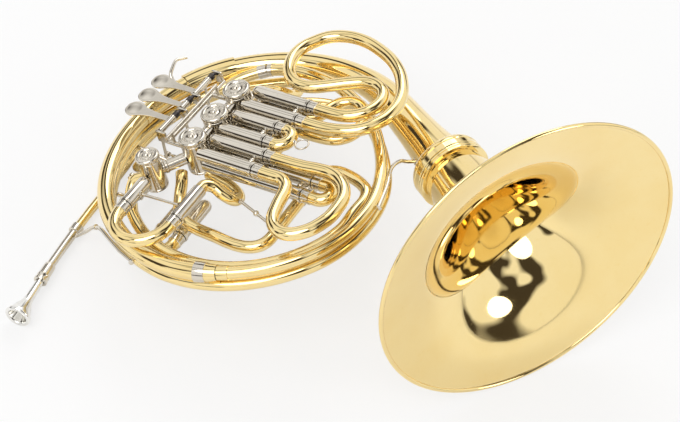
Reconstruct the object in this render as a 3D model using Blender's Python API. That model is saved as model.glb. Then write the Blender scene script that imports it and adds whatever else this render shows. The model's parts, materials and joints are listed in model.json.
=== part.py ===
"""Double french horn, built as an assembly of separate named pieces.

The horn is drawn in its own plan: x runs towards the bell, y across the coil,
and z from the back of the horn up to the valve caps. One root empty then lays
the whole horn on a table, resting on its bell rim and on its coil.
Every number below is in millimetres or degrees unless its name says otherwise.
"""
import bmesh
import bpy
from math import ceil, cos, degrees, pi, radians, sin
from mathutils import Matrix, Vector
from mathutils.geometry import interpolate_bezier

MM = 0.001

# Lying pose of the whole horn
LAY_ROLL = 11.8
LAY_PITCH = -17.9

# Coil and bell
COIL_RADIUS = 152.0
COIL_STEP = 10.0
BELL_RADIUS = 155.0
BELL_LENGTH = 147.0
BELL_WALL = 1.2
BELL_FLARE_POWER = 0.85
BELL_BEAD = 2.2
BELL_TILT = 5.4
BELL_SIDES = 30
THROAT_RADIUS = 29.0
RING_RADIUS = 37.0
RING_LENGTH = 15.0
RING_CENTRE = Vector((104.0, COIL_RADIUS, -30.0))
TAIL_TOP_RADIUS = 17.5
TAIL_LEFT_RADIUS = 10.2
TAIL_SIDES = 12
BRANCH_RADIUS = 8.8
BRANCH_END_ANGLE = 312.0
BRANCH_START_ANGLE = 200.0

# Cylindrical tubing
TUBE_RADIUS = 6.0
TUBE_SIDES = 8
FERRULE_EXTRA = 1.0
LAYER_DROP = 15.6
LEADPIPE_Z = -28.2
LEADPIPE_RADIUS = 5.6
LEADPIPE_TIP_RADIUS = 4.4

# Receiver and mouthpiece
LEADPIPE_END = Vector((-30.0, -221.0, -26.5))
MOUTHPIECE_RIM_CENTRE = Vector((14.6, -274.3, -27.0))
RECEIVER_LENGTH = 22.0
RECEIVER_RADIUS = 6.2
RECEIVER_BORE = 4.3
MOUTHPIECE_INSERT = 16.0
MOUTHPIECE_RIM_RADIUS = 13.0
CUP_DEPTH = 22.0

# Valves: the row runs towards the third valve, the slides run across it
ROW_ANGLE = 28.4
VALVE_PITCH = 37.0
MIDDLE_VALVE = Vector((-44.8, -15.1, 0.0))
CHANGE_VALVE_U = -26.8
CHANGE_VALVE_W = -38.7
CASING_RADIUS = 13.3
CHANGE_CASING_RADIUS = 11.5
CASING_BOTTOM = 0.0
CASING_TOP = 36.0
CAP_OVERHANG = 0.6
CAP_HEIGHT = 5.0
CAP_SIDES = 16
CASING_SIDES = 16
STEM_RADIUS = 3.0
STEM_DEPTH = 16.0

# Slides: two levels of legs leave each valve
F_LEVEL = 28.0
BB_LEVEL = 12.0
F_LEGS = (-7.0, 14.0)
BB_LEGS = (-5.0, 14.0)
LEG_RADIUS = 5.8
SLIDE_CLEARANCE = 0.45
SLEEVE_WALL = 0.75
SLEEVE_RING = 0.8
SLEEVE_RING_LENGTH = 3.0
CROOK_RADIUS = 6.4
SLEEVE_SIDES = 8
LEG_INSERT = 26.0
LEG_BORE = 4.8
LEG_BORE_DEPTH = 12.0
CASING_GAP = 0.35

# Main tuning slide
MAIN_ANGLE = -59.3
MAIN_LEVEL = 20.0
MAIN_OFFSETS = (-13.5, -73.5)
MAIN_MOUTH = 113.0
MAIN_BOW_START = 122.0
MAIN_ELBOW = 72.0

# Rear tuning slide
REAR_LEVEL = -28.5
CROSSING_LEVEL = -7.0
REAR_OFFSETS = (-37.0, -59.0)
REAR_START = 52.0
REAR_MOUTH = 95.0
REAR_BOW_START = 108.0

# Levers
HINGE_U = -45.0
HINGE_Z = 30.0
SHAFT_RADIUS = 1.9
HUB_RADIUS = 3.6
RUNNING_CLEARANCE = 0.3
LEVER_TRAVEL = 16.0
LEVER_DROP = 36.0
LEVER_REACH = 47.0
PADDLE_RADIUS = 10.0
PADDLE_THICKNESS = 1.8
LEVER_PLACES = (-16.8, 5.0, 26.8)
PIN_SIDE = 6.0
STOP_RADIUS = 7.0
HUB_END = 4.2
POSTS = (-37.2, -1.5, 21.0, 57.5)
PIN_RADIUS = 1.1
EYE_BORE = 2.7
EYE_RADIUS = 4.0
SPRING_WIRE = 0.45
SPRING_CURLS = 4
SPRING_PITCH = 1.5
SPRING_RADIUS = 3.0

# Thumb lever
THUMB_U = -62.0
THUMB_Z = -30.0
THUMB_DROP = 24.0
THUMB_TRAVEL = 23.8
THUMB_REACH = 27.0
THUMB_POSTS = (-78.5, -20.5)
THUMB_PADDLE_W = -36.0

BRACE_REACH = 44.5

BRASS = (0.80, 0.58, 0.22)
NICKEL = (0.62, 0.58, 0.50)
SILVER = (0.80, 0.80, 0.78)
STEEL = (0.12, 0.11, 0.10)


def clear_scene():
    """Remove everything that the file starts with."""
    for item in list(bpy.data.objects):
        bpy.data.objects.remove(item, do_unlink=True)


def material(name, colour, roughness, metallic=1.0):
    """One Principled material for one sub-part."""
    made = bpy.data.materials.new(name)
    made.use_nodes = True
    shader = made.node_tree.nodes["Principled BSDF"]
    shader.inputs["Base Color"].default_value = (*colour, 1.0)
    shader.inputs["Roughness"].default_value = roughness
    shader.inputs["Metallic"].default_value = metallic
    return made


def empty(name, parent, location, rotation=(0.0, 0.0, 0.0)):
    """A frame that pieces hang from; location in millimetres."""
    made = bpy.data.objects.new(name, None)
    bpy.context.scene.collection.objects.link(made)
    made.parent = parent
    made.location = Vector(location) * MM
    made.rotation_euler = rotation
    return made


def object_from(bm, name):
    """Turn a bmesh drawn in millimetres into an object in metres."""
    bmesh.ops.scale(bm, vec=(MM, MM, MM), verts=bm.verts)
    bmesh.ops.recalc_face_normals(bm, faces=bm.faces)
    mesh = bpy.data.meshes.new(name)
    bm.to_mesh(mesh)
    bm.free()
    made = bpy.data.objects.new(name, mesh)
    bpy.context.scene.collection.objects.link(made)
    return made


def finish(made, parent, colour, roughness, rename=None):
    """Give a piece its name, parent, smooth shading and material."""
    if rename:
        made.name = rename
    made.data.name = made.name
    made.parent = parent
    made.data.materials.clear()
    made.data.materials.append(material(made.name, colour, roughness))
    made.data.shade_smooth()
    made.data.set_sharp_from_angle(angle=radians(35.0))
    return made


def combine(base, others, operation="UNION"):
    """Apply exact Booleans between pieces drawn in the same frame."""
    for other in others:
        cut = base.modifiers.new("combine", "BOOLEAN")
        cut.operation = operation
        cut.solver = "EXACT"
        cut.object = other
        graph = bpy.context.evaluated_depsgraph_get()
        result = bpy.data.meshes.new_from_object(base.evaluated_get(graph))
        base.modifiers.clear()
        base.data = result
        bpy.data.objects.remove(other, do_unlink=True)
    return base


def ring(bm, centre, forward, side, radius, sides):
    """One circle of vertices square to the direction forward."""
    up = forward.cross(side).normalized()
    across = up.cross(forward).normalized()
    matrix = Matrix((across, up, forward.normalized())).transposed().to_4x4()
    matrix.translation = centre
    made = bmesh.ops.create_circle(bm, radius=radius, segments=sides, matrix=matrix)
    return made["verts"]


def skin(bm, rings, closed=False):
    """Join rings of equal count; cap both ends, or close the loop of rings."""
    pairs = list(zip(rings, rings[1:]))
    if closed:
        pairs.append((rings[-1], rings[0]))
    for first, second in pairs:
        count = len(first)
        for index in range(count):
            after = (index + 1) % count
            bm.faces.new((first[index], first[after], second[after], second[index]))
    if not closed:
        bm.faces.new(rings[0])
        bm.faces.new(rings[-1])


def directions(points):
    """Unit tangents along a route, and side vectors that don't twist."""
    forward = []
    for index in range(len(points)):
        before = points[max(index - 1, 0)]
        after = points[min(index + 1, len(points) - 1)]
        into = (points[index] - before).normalized() if index else Vector()
        out = (after - points[index]).normalized() if index < len(points) - 1 else Vector()
        forward.append((into + out).normalized())
    if len(points) > 2:
        first_chord = (points[1] - points[0]).normalized()
        last_chord = (points[-1] - points[-2]).normalized()
        forward[0] = (first_chord * 2.0 - forward[1]).normalized()
        forward[-1] = (last_chord * 2.0 - forward[-2]).normalized()
    start = Vector((0.0, 0.0, 1.0))
    if abs(forward[0].z) > 0.9:
        start = Vector((1.0, 0.0, 0.0))
    side = (start - forward[0] * start.dot(forward[0])).normalized()
    sides = [side]
    for first, second in zip(forward, forward[1:]):
        side = first.rotation_difference(second) @ side
        sides.append(side.copy())
    return forward, sides


def tube(name, points, radii, sides=TUBE_SIDES, bores=(None, None)):
    """A swept tube; each bore is (depth, radius) of the open end there."""
    points = [Vector(point) for point in points]
    if not isinstance(radii, (list, tuple)):
        radii = [radii] * len(points)
    forward, side = directions(points)
    bm = bmesh.new()
    rings = []
    if bores[0]:
        depth, bore = bores[0]
        for distance in (depth, 0.0):
            centre = points[0] + forward[0] * distance
            rings.append(ring(bm, centre, forward[0], side[0], bore, sides))
    for index, point in enumerate(points):
        rings.append(ring(bm, point, forward[index], side[index], radii[index], sides))
    if bores[1]:
        depth, bore = bores[1]
        for distance in (0.0, depth):
            centre = points[-1] - forward[-1] * distance
            rings.append(ring(bm, centre, forward[-1], side[-1], bore, sides))
    skin(bm, rings)
    return object_from(bm, name)


def turned(name, profile, start, axis, sides, closed=False):
    """A turned piece; the profile holds (distance along the axis, radius)."""
    axis = Vector(axis).normalized()
    guide = Vector((0.0, 0.0, 1.0)) if abs(axis.z) < 0.9 else Vector((1.0, 0.0, 0.0))
    bm = bmesh.new()
    rings = [
        ring(bm, Vector(start) + axis * distance, axis, guide, radius, sides)
        for distance, radius in profile
    ]
    skin(bm, rings, closed)
    return object_from(bm, name)


def rod(name, first, second, radius, sides=8):
    """A straight round bar between two points."""
    return tube(name, [first, second], radius, sides)


def block(name, low, high):
    """A box between two corners."""
    bm = bmesh.new()
    bmesh.ops.create_cube(bm, size=1.0)
    low = Vector(low)
    high = Vector(high)
    for vertex in bm.verts:
        vertex.co = Vector([
            (low[axis] + high[axis]) / 2.0 + vertex.co[axis] * (high[axis] - low[axis])
            for axis in range(3)
        ])
    return object_from(bm, name)


def smooth_route(points, turn=30.0, straight_ends=True):
    """Read a smooth curve through a route's own points."""
    points = [Vector(point) for point in points]
    tangents = []
    for index in range(len(points)):
        before = points[max(index - 1, 0)]
        after = points[min(index + 1, len(points) - 1)]
        tangents.append((after - before).normalized())
    if straight_ends:
        tangents[1] = tangents[0]
        tangents[-2] = tangents[-1]
    route = [points[0]]
    for index in range(len(points) - 1):
        reach = (points[index + 1] - points[index]).length * 0.36
        bend = degrees(tangents[index].angle(tangents[index + 1]))
        chord = (points[index + 1] - points[index]).normalized()
        bend += degrees(chord.angle(tangents[index])) * 0.5
        count = max(1, ceil(bend / turn))
        route += interpolate_bezier(
            points[index],
            points[index] + tangents[index] * reach,
            points[index + 1] - tangents[index + 1] * reach,
            points[index + 1],
            count + 1,
        )[1:]
    return route


def blend(keys, place):
    """Smooth value between (place, value) keys in rising order."""
    if place <= keys[0][0]:
        return keys[0][1]
    if place >= keys[-1][0]:
        return keys[-1][1]
    index = max(i for i in range(len(keys) - 1) if keys[i][0] <= place)
    slopes = []
    for i in (index, index + 1):
        low = keys[max(i - 1, 0)]
        high = keys[min(i + 1, len(keys) - 1)]
        slopes.append((high[1] - low[1]) / (high[0] - low[0]))
    width = keys[index + 1][0] - keys[index][0]
    part = (place - keys[index][0]) / width
    rise = keys[index + 1][1] - keys[index][1]
    curve = part * part * (3.0 - 2.0 * part)
    start = part * (1.0 - part) ** 2
    end = part * part * (part - 1.0)
    return keys[index][1] + rise * curve + width * (slopes[0] * start + slopes[1] * end)


def coil_angles(first, last):
    """Angles on the shared grid of the coil, with both ends."""
    step = COIL_STEP
    grid = [step * k for k in range(ceil(first / step), int(last // step) + 1)]
    inner = [angle for angle in grid if first + 2.0 < angle < last - 2.0]
    return [first, *inner, last]


def polar(angle, radius, height):
    """A point of the coil."""
    return Vector((radius * cos(radians(angle)), radius * sin(radians(angle)), height))


def spiral(keys, first, last):
    """Points round the coil from keys of (angle, radius, height)."""
    radius_keys = [(angle, radius) for angle, radius, height in keys]
    height_keys = [(angle, height) for angle, radius, height in keys]
    return [
        polar(angle, blend(radius_keys, angle), blend(height_keys, angle))
        for angle in coil_angles(first, last)
    ]


# Bell, tail and coil

def bell_axis():
    """Direction out of the bell's mouth."""
    return Vector((cos(radians(BELL_TILT)), 0.0, -sin(radians(BELL_TILT))))


def bell_radius(from_rim):
    """Outer radius of the flare: it grows ever faster towards the rim."""
    ratio = (BELL_RADIUS / THROAT_RADIUS) ** (1.0 / BELL_FLARE_POWER)
    shift = BELL_LENGTH / (ratio - 1.0)
    return BELL_RADIUS * (shift / (from_rim + shift)) ** BELL_FLARE_POWER


def make_bell(parent):
    """The detachable flare with its rolled rim and its screw ring."""
    stations = [0.0, 2.0, 6.0, 12.0, 22.0, 36.0, 56.0, 84.0, 120.0]
    start = RING_LENGTH / 2.0 + 0.4
    outer = [(BELL_LENGTH - d, bell_radius(d)) for d in stations]
    inner = [(x, r - BELL_WALL) for x, r in outer]
    throat = bell_radius(BELL_LENGTH - start)
    bead = [
        (BELL_LENGTH + BELL_BEAD * sin(radians(a)), BELL_RADIUS + BELL_BEAD * cos(radians(a)))
        for a in (-60.0, -10.0, 35.0, 90.0)
    ]
    ring_part = [(start, throat - BELL_WALL), (start, RING_RADIUS), (start + 6.0, RING_RADIUS),
                 (start + 7.5, bell_radius(BELL_LENGTH - start - 7.5) + 1.0)]
    profile = ring_part + outer[:0:-1] + bead + [(BELL_LENGTH + BELL_BEAD, BELL_RADIUS - 2.0)]
    profile += inner[1:]
    flare = turned("bell_flare", profile, (0.0, 0.0, 0.0), (1.0, 0.0, 0.0), BELL_SIDES, closed=True)
    return finish(flare, parent, BRASS, 0.12)


def make_screw_ring(parent):
    """The threaded collar that stays on the bell tail."""
    half = RING_LENGTH / 2.0
    bore = THROAT_RADIUS - BELL_WALL
    profile = [(-half, THROAT_RADIUS + 0.3), (-half, RING_RADIUS - 3.0), (-half + 4.0, RING_RADIUS),
               (half, RING_RADIUS), (half, bore), (half - 2.0, bore), (half - 2.0, THROAT_RADIUS + 0.3)]
    collar = turned("bell_screw_ring", profile, (0.0, 0.0, 0.0), (1.0, 0.0, 0.0), BELL_SIDES, closed=True)
    return finish(collar, parent, BRASS, 0.15)


def tail_height(angle):
    """The tail dips behind the coil towards the bell."""
    keys = [(90.0, -20.3), (110.0, -15.4), (130.0, -10.6), (150.0, -6.2), (175.0, -1.5), (200.0, 0.0)]
    return blend(keys, angle)


def make_tail(parent):
    """Tapered tail from the screw ring over the top to the left."""
    axis = bell_axis()
    start = RING_CENTRE + axis * (RING_LENGTH / 2.0 - 2.4)
    length = (RING_CENTRE.x + 2.0) / axis.x
    straight = [start - axis * (length * part) for part in (0.0, 0.2, 0.42, 0.7)]
    angles = coil_angles(90.0, BRANCH_START_ANGLE)
    arc = [polar(angle, COIL_RADIUS, tail_height(angle)) for angle in angles]
    travelled = [0.0, 0.2 * length, 0.42 * length, 0.7 * length]
    travelled += [length + radians(angle - 90.0) * COIL_RADIUS for angle in angles]
    keys = [(0.0, THROAT_RADIUS), (45.0, 21.8), (length, TAIL_TOP_RADIUS), (length + 62.0, 13.8),
            (length + 146.0, 11.3), (length + 250.0, TAIL_LEFT_RADIUS), (travelled[-1], BRANCH_RADIUS + 0.4)]
    radii = [blend(keys, place) for place in travelled]
    points = straight + arc
    forward, side = directions(points)
    bm = bmesh.new()
    bored = 9
    rings = []
    for index in reversed(range(bored)):
        bore = radii[index] - BELL_WALL
        rings.append(ring(bm, points[index], forward[index], side[index], bore, TAIL_SIDES))
    for index, point in enumerate(points):
        rings.append(ring(bm, point, forward[index], side[index], radii[index], TAIL_SIDES))
    skin(bm, rings)
    return finish(object_from(bm, "bell_tail"), parent, BRASS, 0.12)


def make_branch(parent):
    """The lower round of the bell branch."""
    gap = degrees(0.4 / COIL_RADIUS)
    points = spiral([(180.0, COIL_RADIUS, 0.0), (320.0, COIL_RADIUS, 0.0)],
                    BRANCH_START_ANGLE + gap, BRANCH_END_ANGLE - gap)
    made = tube("bell_branch", points, BRANCH_RADIUS, 12)
    return finish(made, parent, BRASS, 0.12)


def make_branch_ferrule(parent):
    """Nickel ferrule between the bell branch and the outer coil tube."""
    step = 8.0
    start = BRANCH_END_ANGLE
    points = [polar(start + part * step / 2.0, COIL_RADIUS, 0.0) for part in (0, 1, 2)]
    made = tube("branch_ferrule", points, [BRANCH_RADIUS + 0.9, BRANCH_RADIUS, 7.6], 12)
    return finish(made, parent, NICKEL, 0.22)


def make_outer_coil(parent):
    """Upper layer: up the right side and over the top inside the tail."""
    gap = degrees(0.4 / COIL_RADIUS)
    start = BRANCH_END_ANGLE + 8.0 + gap - 360.0
    keys = [(-50.0, COIL_RADIUS, 0.0), (0.0, COIL_RADIUS, 0.0), (20.0, 146.0, 0.0), (40.0, 132.0, -1.0),
            (60.0, 121.0, -2.0), (80.0, 117.5, -2.0), (100.0, 118.5, -2.0), (120.0, 124.5, -1.0),
            (135.0, 130.0, 0.0), (149.0, 133.5, 0.0)]
    points = spiral(keys, start, 149.0)
    made = tube("outer_coil_tube", points, TUBE_RADIUS)
    return finish(made, parent, BRASS, 0.12)


def make_inner_coil(parent):
    """Lower layer: from the left ferrule round the bottom to the third valve."""
    start = 149.0 + degrees(1.0 / 134.0)
    keys = [(149.0, 133.5, 0.0), (160.0, 133.5, -3.0), (172.0, 135.5, -9.5), (185.0, 141.5, -14.8),
            (200.0, 149.0, -16.0), (212.0, COIL_RADIUS, -16.0), (220.0, COIL_RADIUS, -LAYER_DROP), (355.0, COIL_RADIUS, -LAYER_DROP),
            (375.0, 147.0, -LAYER_DROP), (395.0, 137.0, -LAYER_DROP), (415.0, 124.0, -LAYER_DROP),
            (430.0, 118.5, -LAYER_DROP), (445.0, 117.0, -LAYER_DROP)]
    points = spiral(keys, start, 445.0)
    curl = smooth_route([points[-2], points[-1], (-14.0, 112.0, -15.0), (-36.0, 98.0, -12.0),
                         (-50.0, 76.0, -6.0), (-58.0, 54.0, -3.0), (-61.5, 38.0, -3.0), (-62.4, 22.0, -3.0)])
    route = points[:-1] + curl[1:]
    radii = [TUBE_RADIUS + FERRULE_EXTRA] * 2 + [TUBE_RADIUS] * (len(route) - 2)
    made = tube("inner_coil_tube", route, radii)
    casing = casing_cutter("third_cut", valve_place(3))
    return finish(combine(made, [casing], "DIFFERENCE"), parent, BRASS, 0.12)


def make_leadpipe(parent):
    """Lowest layer: from the receiver up the left side and down to the valves."""
    keys = [(130.0, 140.0, -26.0), (150.0, 146.0, LEADPIPE_Z), (170.0, 152.0, LEADPIPE_Z),
            (185.0, 153.5, LEADPIPE_Z), (225.0, 155.0, LEADPIPE_Z)]
    arc = spiral(keys, 150.0, 222.0)
    arc.reverse()
    entry = smooth_route([LEADPIPE_END, LEADPIPE_END + Vector((-15.0, 19.0, -0.4)), (-76.0, -160.0, -27.5),
                          arc[0], arc[1]])
    leave = smooth_route([arc[-2], arc[-1], (-112.0, 90.0, LEADPIPE_Z), (-97.0, 89.0, -26.5),
                          (-86.0, 78.0, -20.0), (-81.0, 68.0, -8.0), (-79.0, 56.0, 3.0), (-76.0, 44.0, 10.0),
                          (-71.0, 33.0, 12.0), (-66.0, 24.0, 12.0)])
    route = entry[:-1] + arc[1:-2] + leave
    count = len(route)
    radii = [LEADPIPE_TIP_RADIUS + (LEADPIPE_RADIUS - LEADPIPE_TIP_RADIUS) * min(1.0, 3.0 * index / count)
             for index in range(count)]
    made = tube("leadpipe", route, radii)
    casing = casing_cutter("lead_cut", valve_place(3))
    return finish(combine(made, [casing], "DIFFERENCE"), parent, BRASS, 0.15)


def mouth_axis():
    """Direction from the leadpipe out to the mouthpiece rim."""
    return (MOUTHPIECE_RIM_CENTRE - LEADPIPE_END).normalized()


def make_receiver(parent):
    """Nickel socket that the mouthpiece's shank goes into."""
    profile = [(1.0, RECEIVER_BORE), (RECEIVER_LENGTH, RECEIVER_BORE), (RECEIVER_LENGTH, RECEIVER_RADIUS + 0.6),
               (RECEIVER_LENGTH - 3.0, RECEIVER_RADIUS + 0.6), (RECEIVER_LENGTH - 4.0, RECEIVER_RADIUS),
               (4.0, RECEIVER_RADIUS), (0.0, LEADPIPE_TIP_RADIUS + 0.8)]
    start = LEADPIPE_END + mouth_axis() * 0.4
    made = turned("mouthpiece_receiver", profile, start, mouth_axis(), 14)
    return finish(made, parent, NICKEL, 0.2)


def make_mouthpiece(parent):
    """Deep funnel cup, shank and rim, drawn along +X from the receiver."""
    length = (MOUTHPIECE_RIM_CENTRE - LEADPIPE_END).length - 0.4 - RECEIVER_LENGTH
    shank = RECEIVER_BORE - 0.4
    profile = [(length - 2.0, 8.8), (length - CUP_DEPTH, 2.0), (-MOUTHPIECE_INSERT, 2.0),
               (-MOUTHPIECE_INSERT, shank - 0.5), (0.0, shank), (length - CUP_DEPTH - 5.0, shank + 0.5),
               (length - CUP_DEPTH + 3.0, 5.6), (length - 7.0, 10.6), (length - 4.0, 12.2),
               (length - 2.0, MOUTHPIECE_RIM_RADIUS), (length - 0.5, MOUTHPIECE_RIM_RADIUS),
               (length, MOUTHPIECE_RIM_RADIUS - 1.4), (length, 10.0)]
    made = turned("mouthpiece", profile, (0.0, 0.0, 0.0), (1.0, 0.0, 0.0), 14, closed=True)
    return finish(made, parent, SILVER, 0.1)


# Valves

def row_axes():
    """Slide direction and row direction in the plan."""
    turn = radians(ROW_ANGLE)
    return Vector((cos(turn), sin(turn), 0.0)), Vector((-sin(turn), cos(turn), 0.0))


def valve_place(number):
    """Plan position of a valve; the fourth is the change valve."""
    along, across = row_axes()
    if number == 4:
        return valve_place(1) + along * CHANGE_VALVE_U + across * CHANGE_VALVE_W
    return MIDDLE_VALVE + across * VALVE_PITCH * (number - 2)


def casing_cutter(name, place, radius=CASING_RADIUS):
    """A casing's space with its gap, to trim the tubes that meet it."""
    profile = [(CASING_BOTTOM - 20.0, radius + CASING_GAP), (CASING_TOP + CAP_HEIGHT + 2.0, radius + CASING_GAP)]
    return turned(name, profile, Vector(place), (0.0, 0.0, 1.0), CASING_SIDES)


def make_casing(number, parent):
    """Valve casing with the stubs that lead on to the next valve."""
    radius = CHANGE_CASING_RADIUS if number == 4 else CASING_RADIUS
    bore = STEM_RADIUS + RUNNING_CLEARANCE
    profile = [(CASING_BOTTOM + STEM_DEPTH, bore), (CASING_BOTTOM, bore), (CASING_BOTTOM, radius - 0.8),
               (CASING_BOTTOM + 0.8, radius), (CASING_TOP, radius)]
    name = "change_casing" if number == 4 else f"casing_{number}"
    made = turned(name, profile, (0.0, 0.0, 0.0), (0.0, 0.0, 1.0), CASING_SIDES)
    if number in (1, 2):
        reach = VALVE_PITCH - CASING_RADIUS - CASING_GAP
        stubs = [rod("stub", (0.0, radius - 2.0, level), (0.0, reach, level), TUBE_RADIUS, 10)
                 for level in (BB_LEVEL - 2.0, F_LEVEL)]
        made = combine(made, stubs)
        cutter = casing_cutter("next", (0.0, VALVE_PITCH, 0.0))
        made = combine(made, [cutter], "DIFFERENCE")
    if number == 4:
        goal = Vector((-CHANGE_VALVE_U, -CHANGE_VALVE_W, MAIN_LEVEL - 2.0))
        line = rod("stub", goal.normalized() * 6.0 + Vector((0.0, 0.0, MAIN_LEVEL - 2.0)), goal, TUBE_RADIUS, 10)
        made = combine(made, [line])
        cutter = casing_cutter("next", (-CHANGE_VALVE_U, -CHANGE_VALVE_W, 0.0))
        made = combine(made, [cutter], "DIFFERENCE")
    return finish(made, parent, NICKEL, 0.2)


def make_cap(number, parent):
    """Screwed valve cap with a stepped face and a centre point."""
    radius = (CHANGE_CASING_RADIUS if number == 4 else CASING_RADIUS) + CAP_OVERHANG
    base = CASING_TOP + CASING_GAP
    profile = [(0.0, radius), (CAP_HEIGHT - 1.2, radius), (CAP_HEIGHT, radius - 1.6), (CAP_HEIGHT, radius - 4.5),
               (CAP_HEIGHT - 0.9, radius - 5.5), (CAP_HEIGHT - 0.9, 4.0), (CAP_HEIGHT + 1.2, 2.8),
               (CAP_HEIGHT + 2.2, 1.0)]
    name = "change_cap" if number == 4 else f"valve_cap_{number}"
    made = turned(name, profile, (0.0, 0.0, base), (0.0, 0.0, 1.0), CAP_SIDES)
    return finish(made, parent, NICKEL, 0.18)


# Slides

def sleeve(name, place, level, start, mouth, rounded=True):
    """One outer sleeve along +X with its end ring and its blind bore."""
    outer = LEG_RADIUS + SLIDE_CLEARANCE + SLEEVE_WALL
    bore = LEG_RADIUS + SLIDE_CLEARANCE
    shoulder = mouth - SLEEVE_RING_LENGTH
    profile = [(mouth - LEG_INSERT - 4.0, bore), (mouth, bore), (mouth, outer + SLEEVE_RING),
               (shoulder, outer + SLEEVE_RING), (shoulder, outer), (start, outer)]
    if rounded:
        profile += [(start - 0.5 * outer, outer * 0.86), (start - 0.86 * outer, outer * 0.5)]
    return turned(name, profile, (0.0, place, level), (1.0, 0.0, 0.0), SLEEVE_SIDES)


def sleeve_brace(name, legs, level, place):
    """Small round brace with a ball between two sleeves."""
    low, high = sorted(legs)
    outer = LEG_RADIUS + SLIDE_CLEARANCE
    middle = (low + high) / 2.0
    profile = [(low + outer, 1.6), (middle - 2.6, 1.6), (middle - 1.5, 3.0), (middle + 1.5, 3.0),
               (middle + 2.6, 1.6), (high - outer, 1.6)]
    return turned(name, profile, (place, 0.0, level), (0.0, 1.0, 0.0), 8)


def make_valve_sleeves(name, parent, legs, level, mouth, starts=(8.0, 15.5)):
    """A pair of sleeves trimmed to their own casing and its neighbours."""
    parts = [sleeve(f"leg_{place}", place, level, start, mouth) for place, start in zip(legs, starts)]
    braces = [sleeve_brace("brace", legs, level, place) for place in (mouth - 10.0,)]
    made = combine(parts[0], [parts[1], *braces])
    cutters = [casing_cutter("own", (0.0, 0.0, 0.0)), casing_cutter("next", (0.0, VALVE_PITCH, 0.0))]
    made = combine(made, cutters, "DIFFERENCE")
    return finish(made, parent, NICKEL, 0.2, name)


def crook(name, parent, route, mouth, free):
    """A crook whose two nickel legs run back into the sleeves.

    The route starts and ends on the two legs' lines, in front of the mouth.
    """
    first = Vector(route[0])
    last = Vector(route[-1])
    into_first = Vector((mouth - LEG_INSERT, first.y, first.z))
    into_last = Vector((mouth - LEG_INSERT, last.y, last.z))
    start = Vector((mouth + 0.5, first.y, first.z))
    end = Vector((mouth + 0.5, last.y, last.z))
    body = smooth_route([start, *route, end]) if free else [start, *route, end]
    points = [into_first, start + Vector((-0.01, 0.0, 0.0)), *body, end + Vector((-0.01, 0.0, 0.0)), into_last]
    radii = [LEG_RADIUS] * 2 + [CROOK_RADIUS] * len(body) + [LEG_RADIUS] * 2
    made = tube(name, points, radii, TUBE_SIDES, bores=((LEG_BORE_DEPTH, LEG_BORE), (LEG_BORE_DEPTH, LEG_BORE)))
    made.data.transform(Matrix.Translation((-mouth * MM, 0.0, 0.0)))
    return finish(made, parent, BRASS, 0.12)


def bow_route(start, legs, level):
    """Half-circle bow between two legs."""
    low, high = legs
    middle = (low + high) / 2.0
    radius = (high - low) / 2.0
    steps = 8
    return [
        (start + abs(radius) * sin(pi * k / steps), middle - radius * cos(pi * k / steps), level)
        for k in range(steps + 1)
    ]


def third_slide_route():
    """Large drop-shaped crook of the third F slide."""
    low, high = F_LEGS
    plan = [(98, low), (120, -5), (140, 2), (153, 15), (160, 33), (158, 54), (147, 75), (129, 94), (105, 108),
            (70, 118), (40, 113), (23, 96), (17, 79), (21, 60), (34, 44), (50, 38), (68, 42), (92, 56),
            (113, 65), (130, 62), (140, 50), (140, 35), (132, 23), (118, 15.5), (98, high)]
    return [(x, y, F_LEVEL) for x, y in plan]


def first_slide_route():
    """Crook of the first F slide, turned down round the rear tubes."""
    low, high = F_LEGS
    plan = [(98, high), (123, 15), (146, 17.5), (165, 12), (179, -2), (183.5, -20), (182, -38), (171, -57.5),
            (153, -66), (136, -57.5), (127.5, -38), (122, -17), (112, -8), (98, low)]
    return [(x, y, F_LEVEL) for x, y in plan]


def third_low_route():
    """Smaller crook of the third slide on the lower level."""
    low, high = BB_LEGS
    plan = [(72, low), (98, low), (117, -1), (128, 12), (128, 29), (119, 43), (104, 49), (91, 43),
            (84, 30), (78, 18), (68, high)]
    return [(x, y, BB_LEVEL) for x, y in plan]


def valve_slides(number):
    """Name, level, legs, mouth and crook route of a valve's two slides."""
    if number == 3:
        return [("f_slide_3", F_LEVEL, F_LEGS, 78.0, third_slide_route(), True),
                ("bb_slide_3", BB_LEVEL, BB_LEGS, 56.0, third_low_route(), True)]
    if number == 2:
        return [("f_slide_2", F_LEVEL, F_LEGS, 65.0, bow_route(76.0, F_LEGS, F_LEVEL), False),
                ("bb_slide_2", BB_LEVEL, BB_LEGS, 48.0, bow_route(58.0, BB_LEGS, BB_LEVEL), False)]
    return [("f_slide_1", F_LEVEL, F_LEGS, 78.0, first_slide_route(), True),
            ("bb_slide_1", BB_LEVEL, BB_LEGS, 130.0, bow_route(146.0, BB_LEGS, BB_LEVEL), False)]


def make_valve_slides(number, parent):
    """Sleeves and crooks of one valve."""
    for name, level, legs, mouth, route, free in valve_slides(number):
        make_valve_sleeves(f"{name}_sleeves", parent, legs, level, mouth)
        base = empty(f"{name}_mouth", parent, (mouth, 0.0, 0.0))
        crook(f"{name}_crook", base, route, mouth, free)


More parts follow.
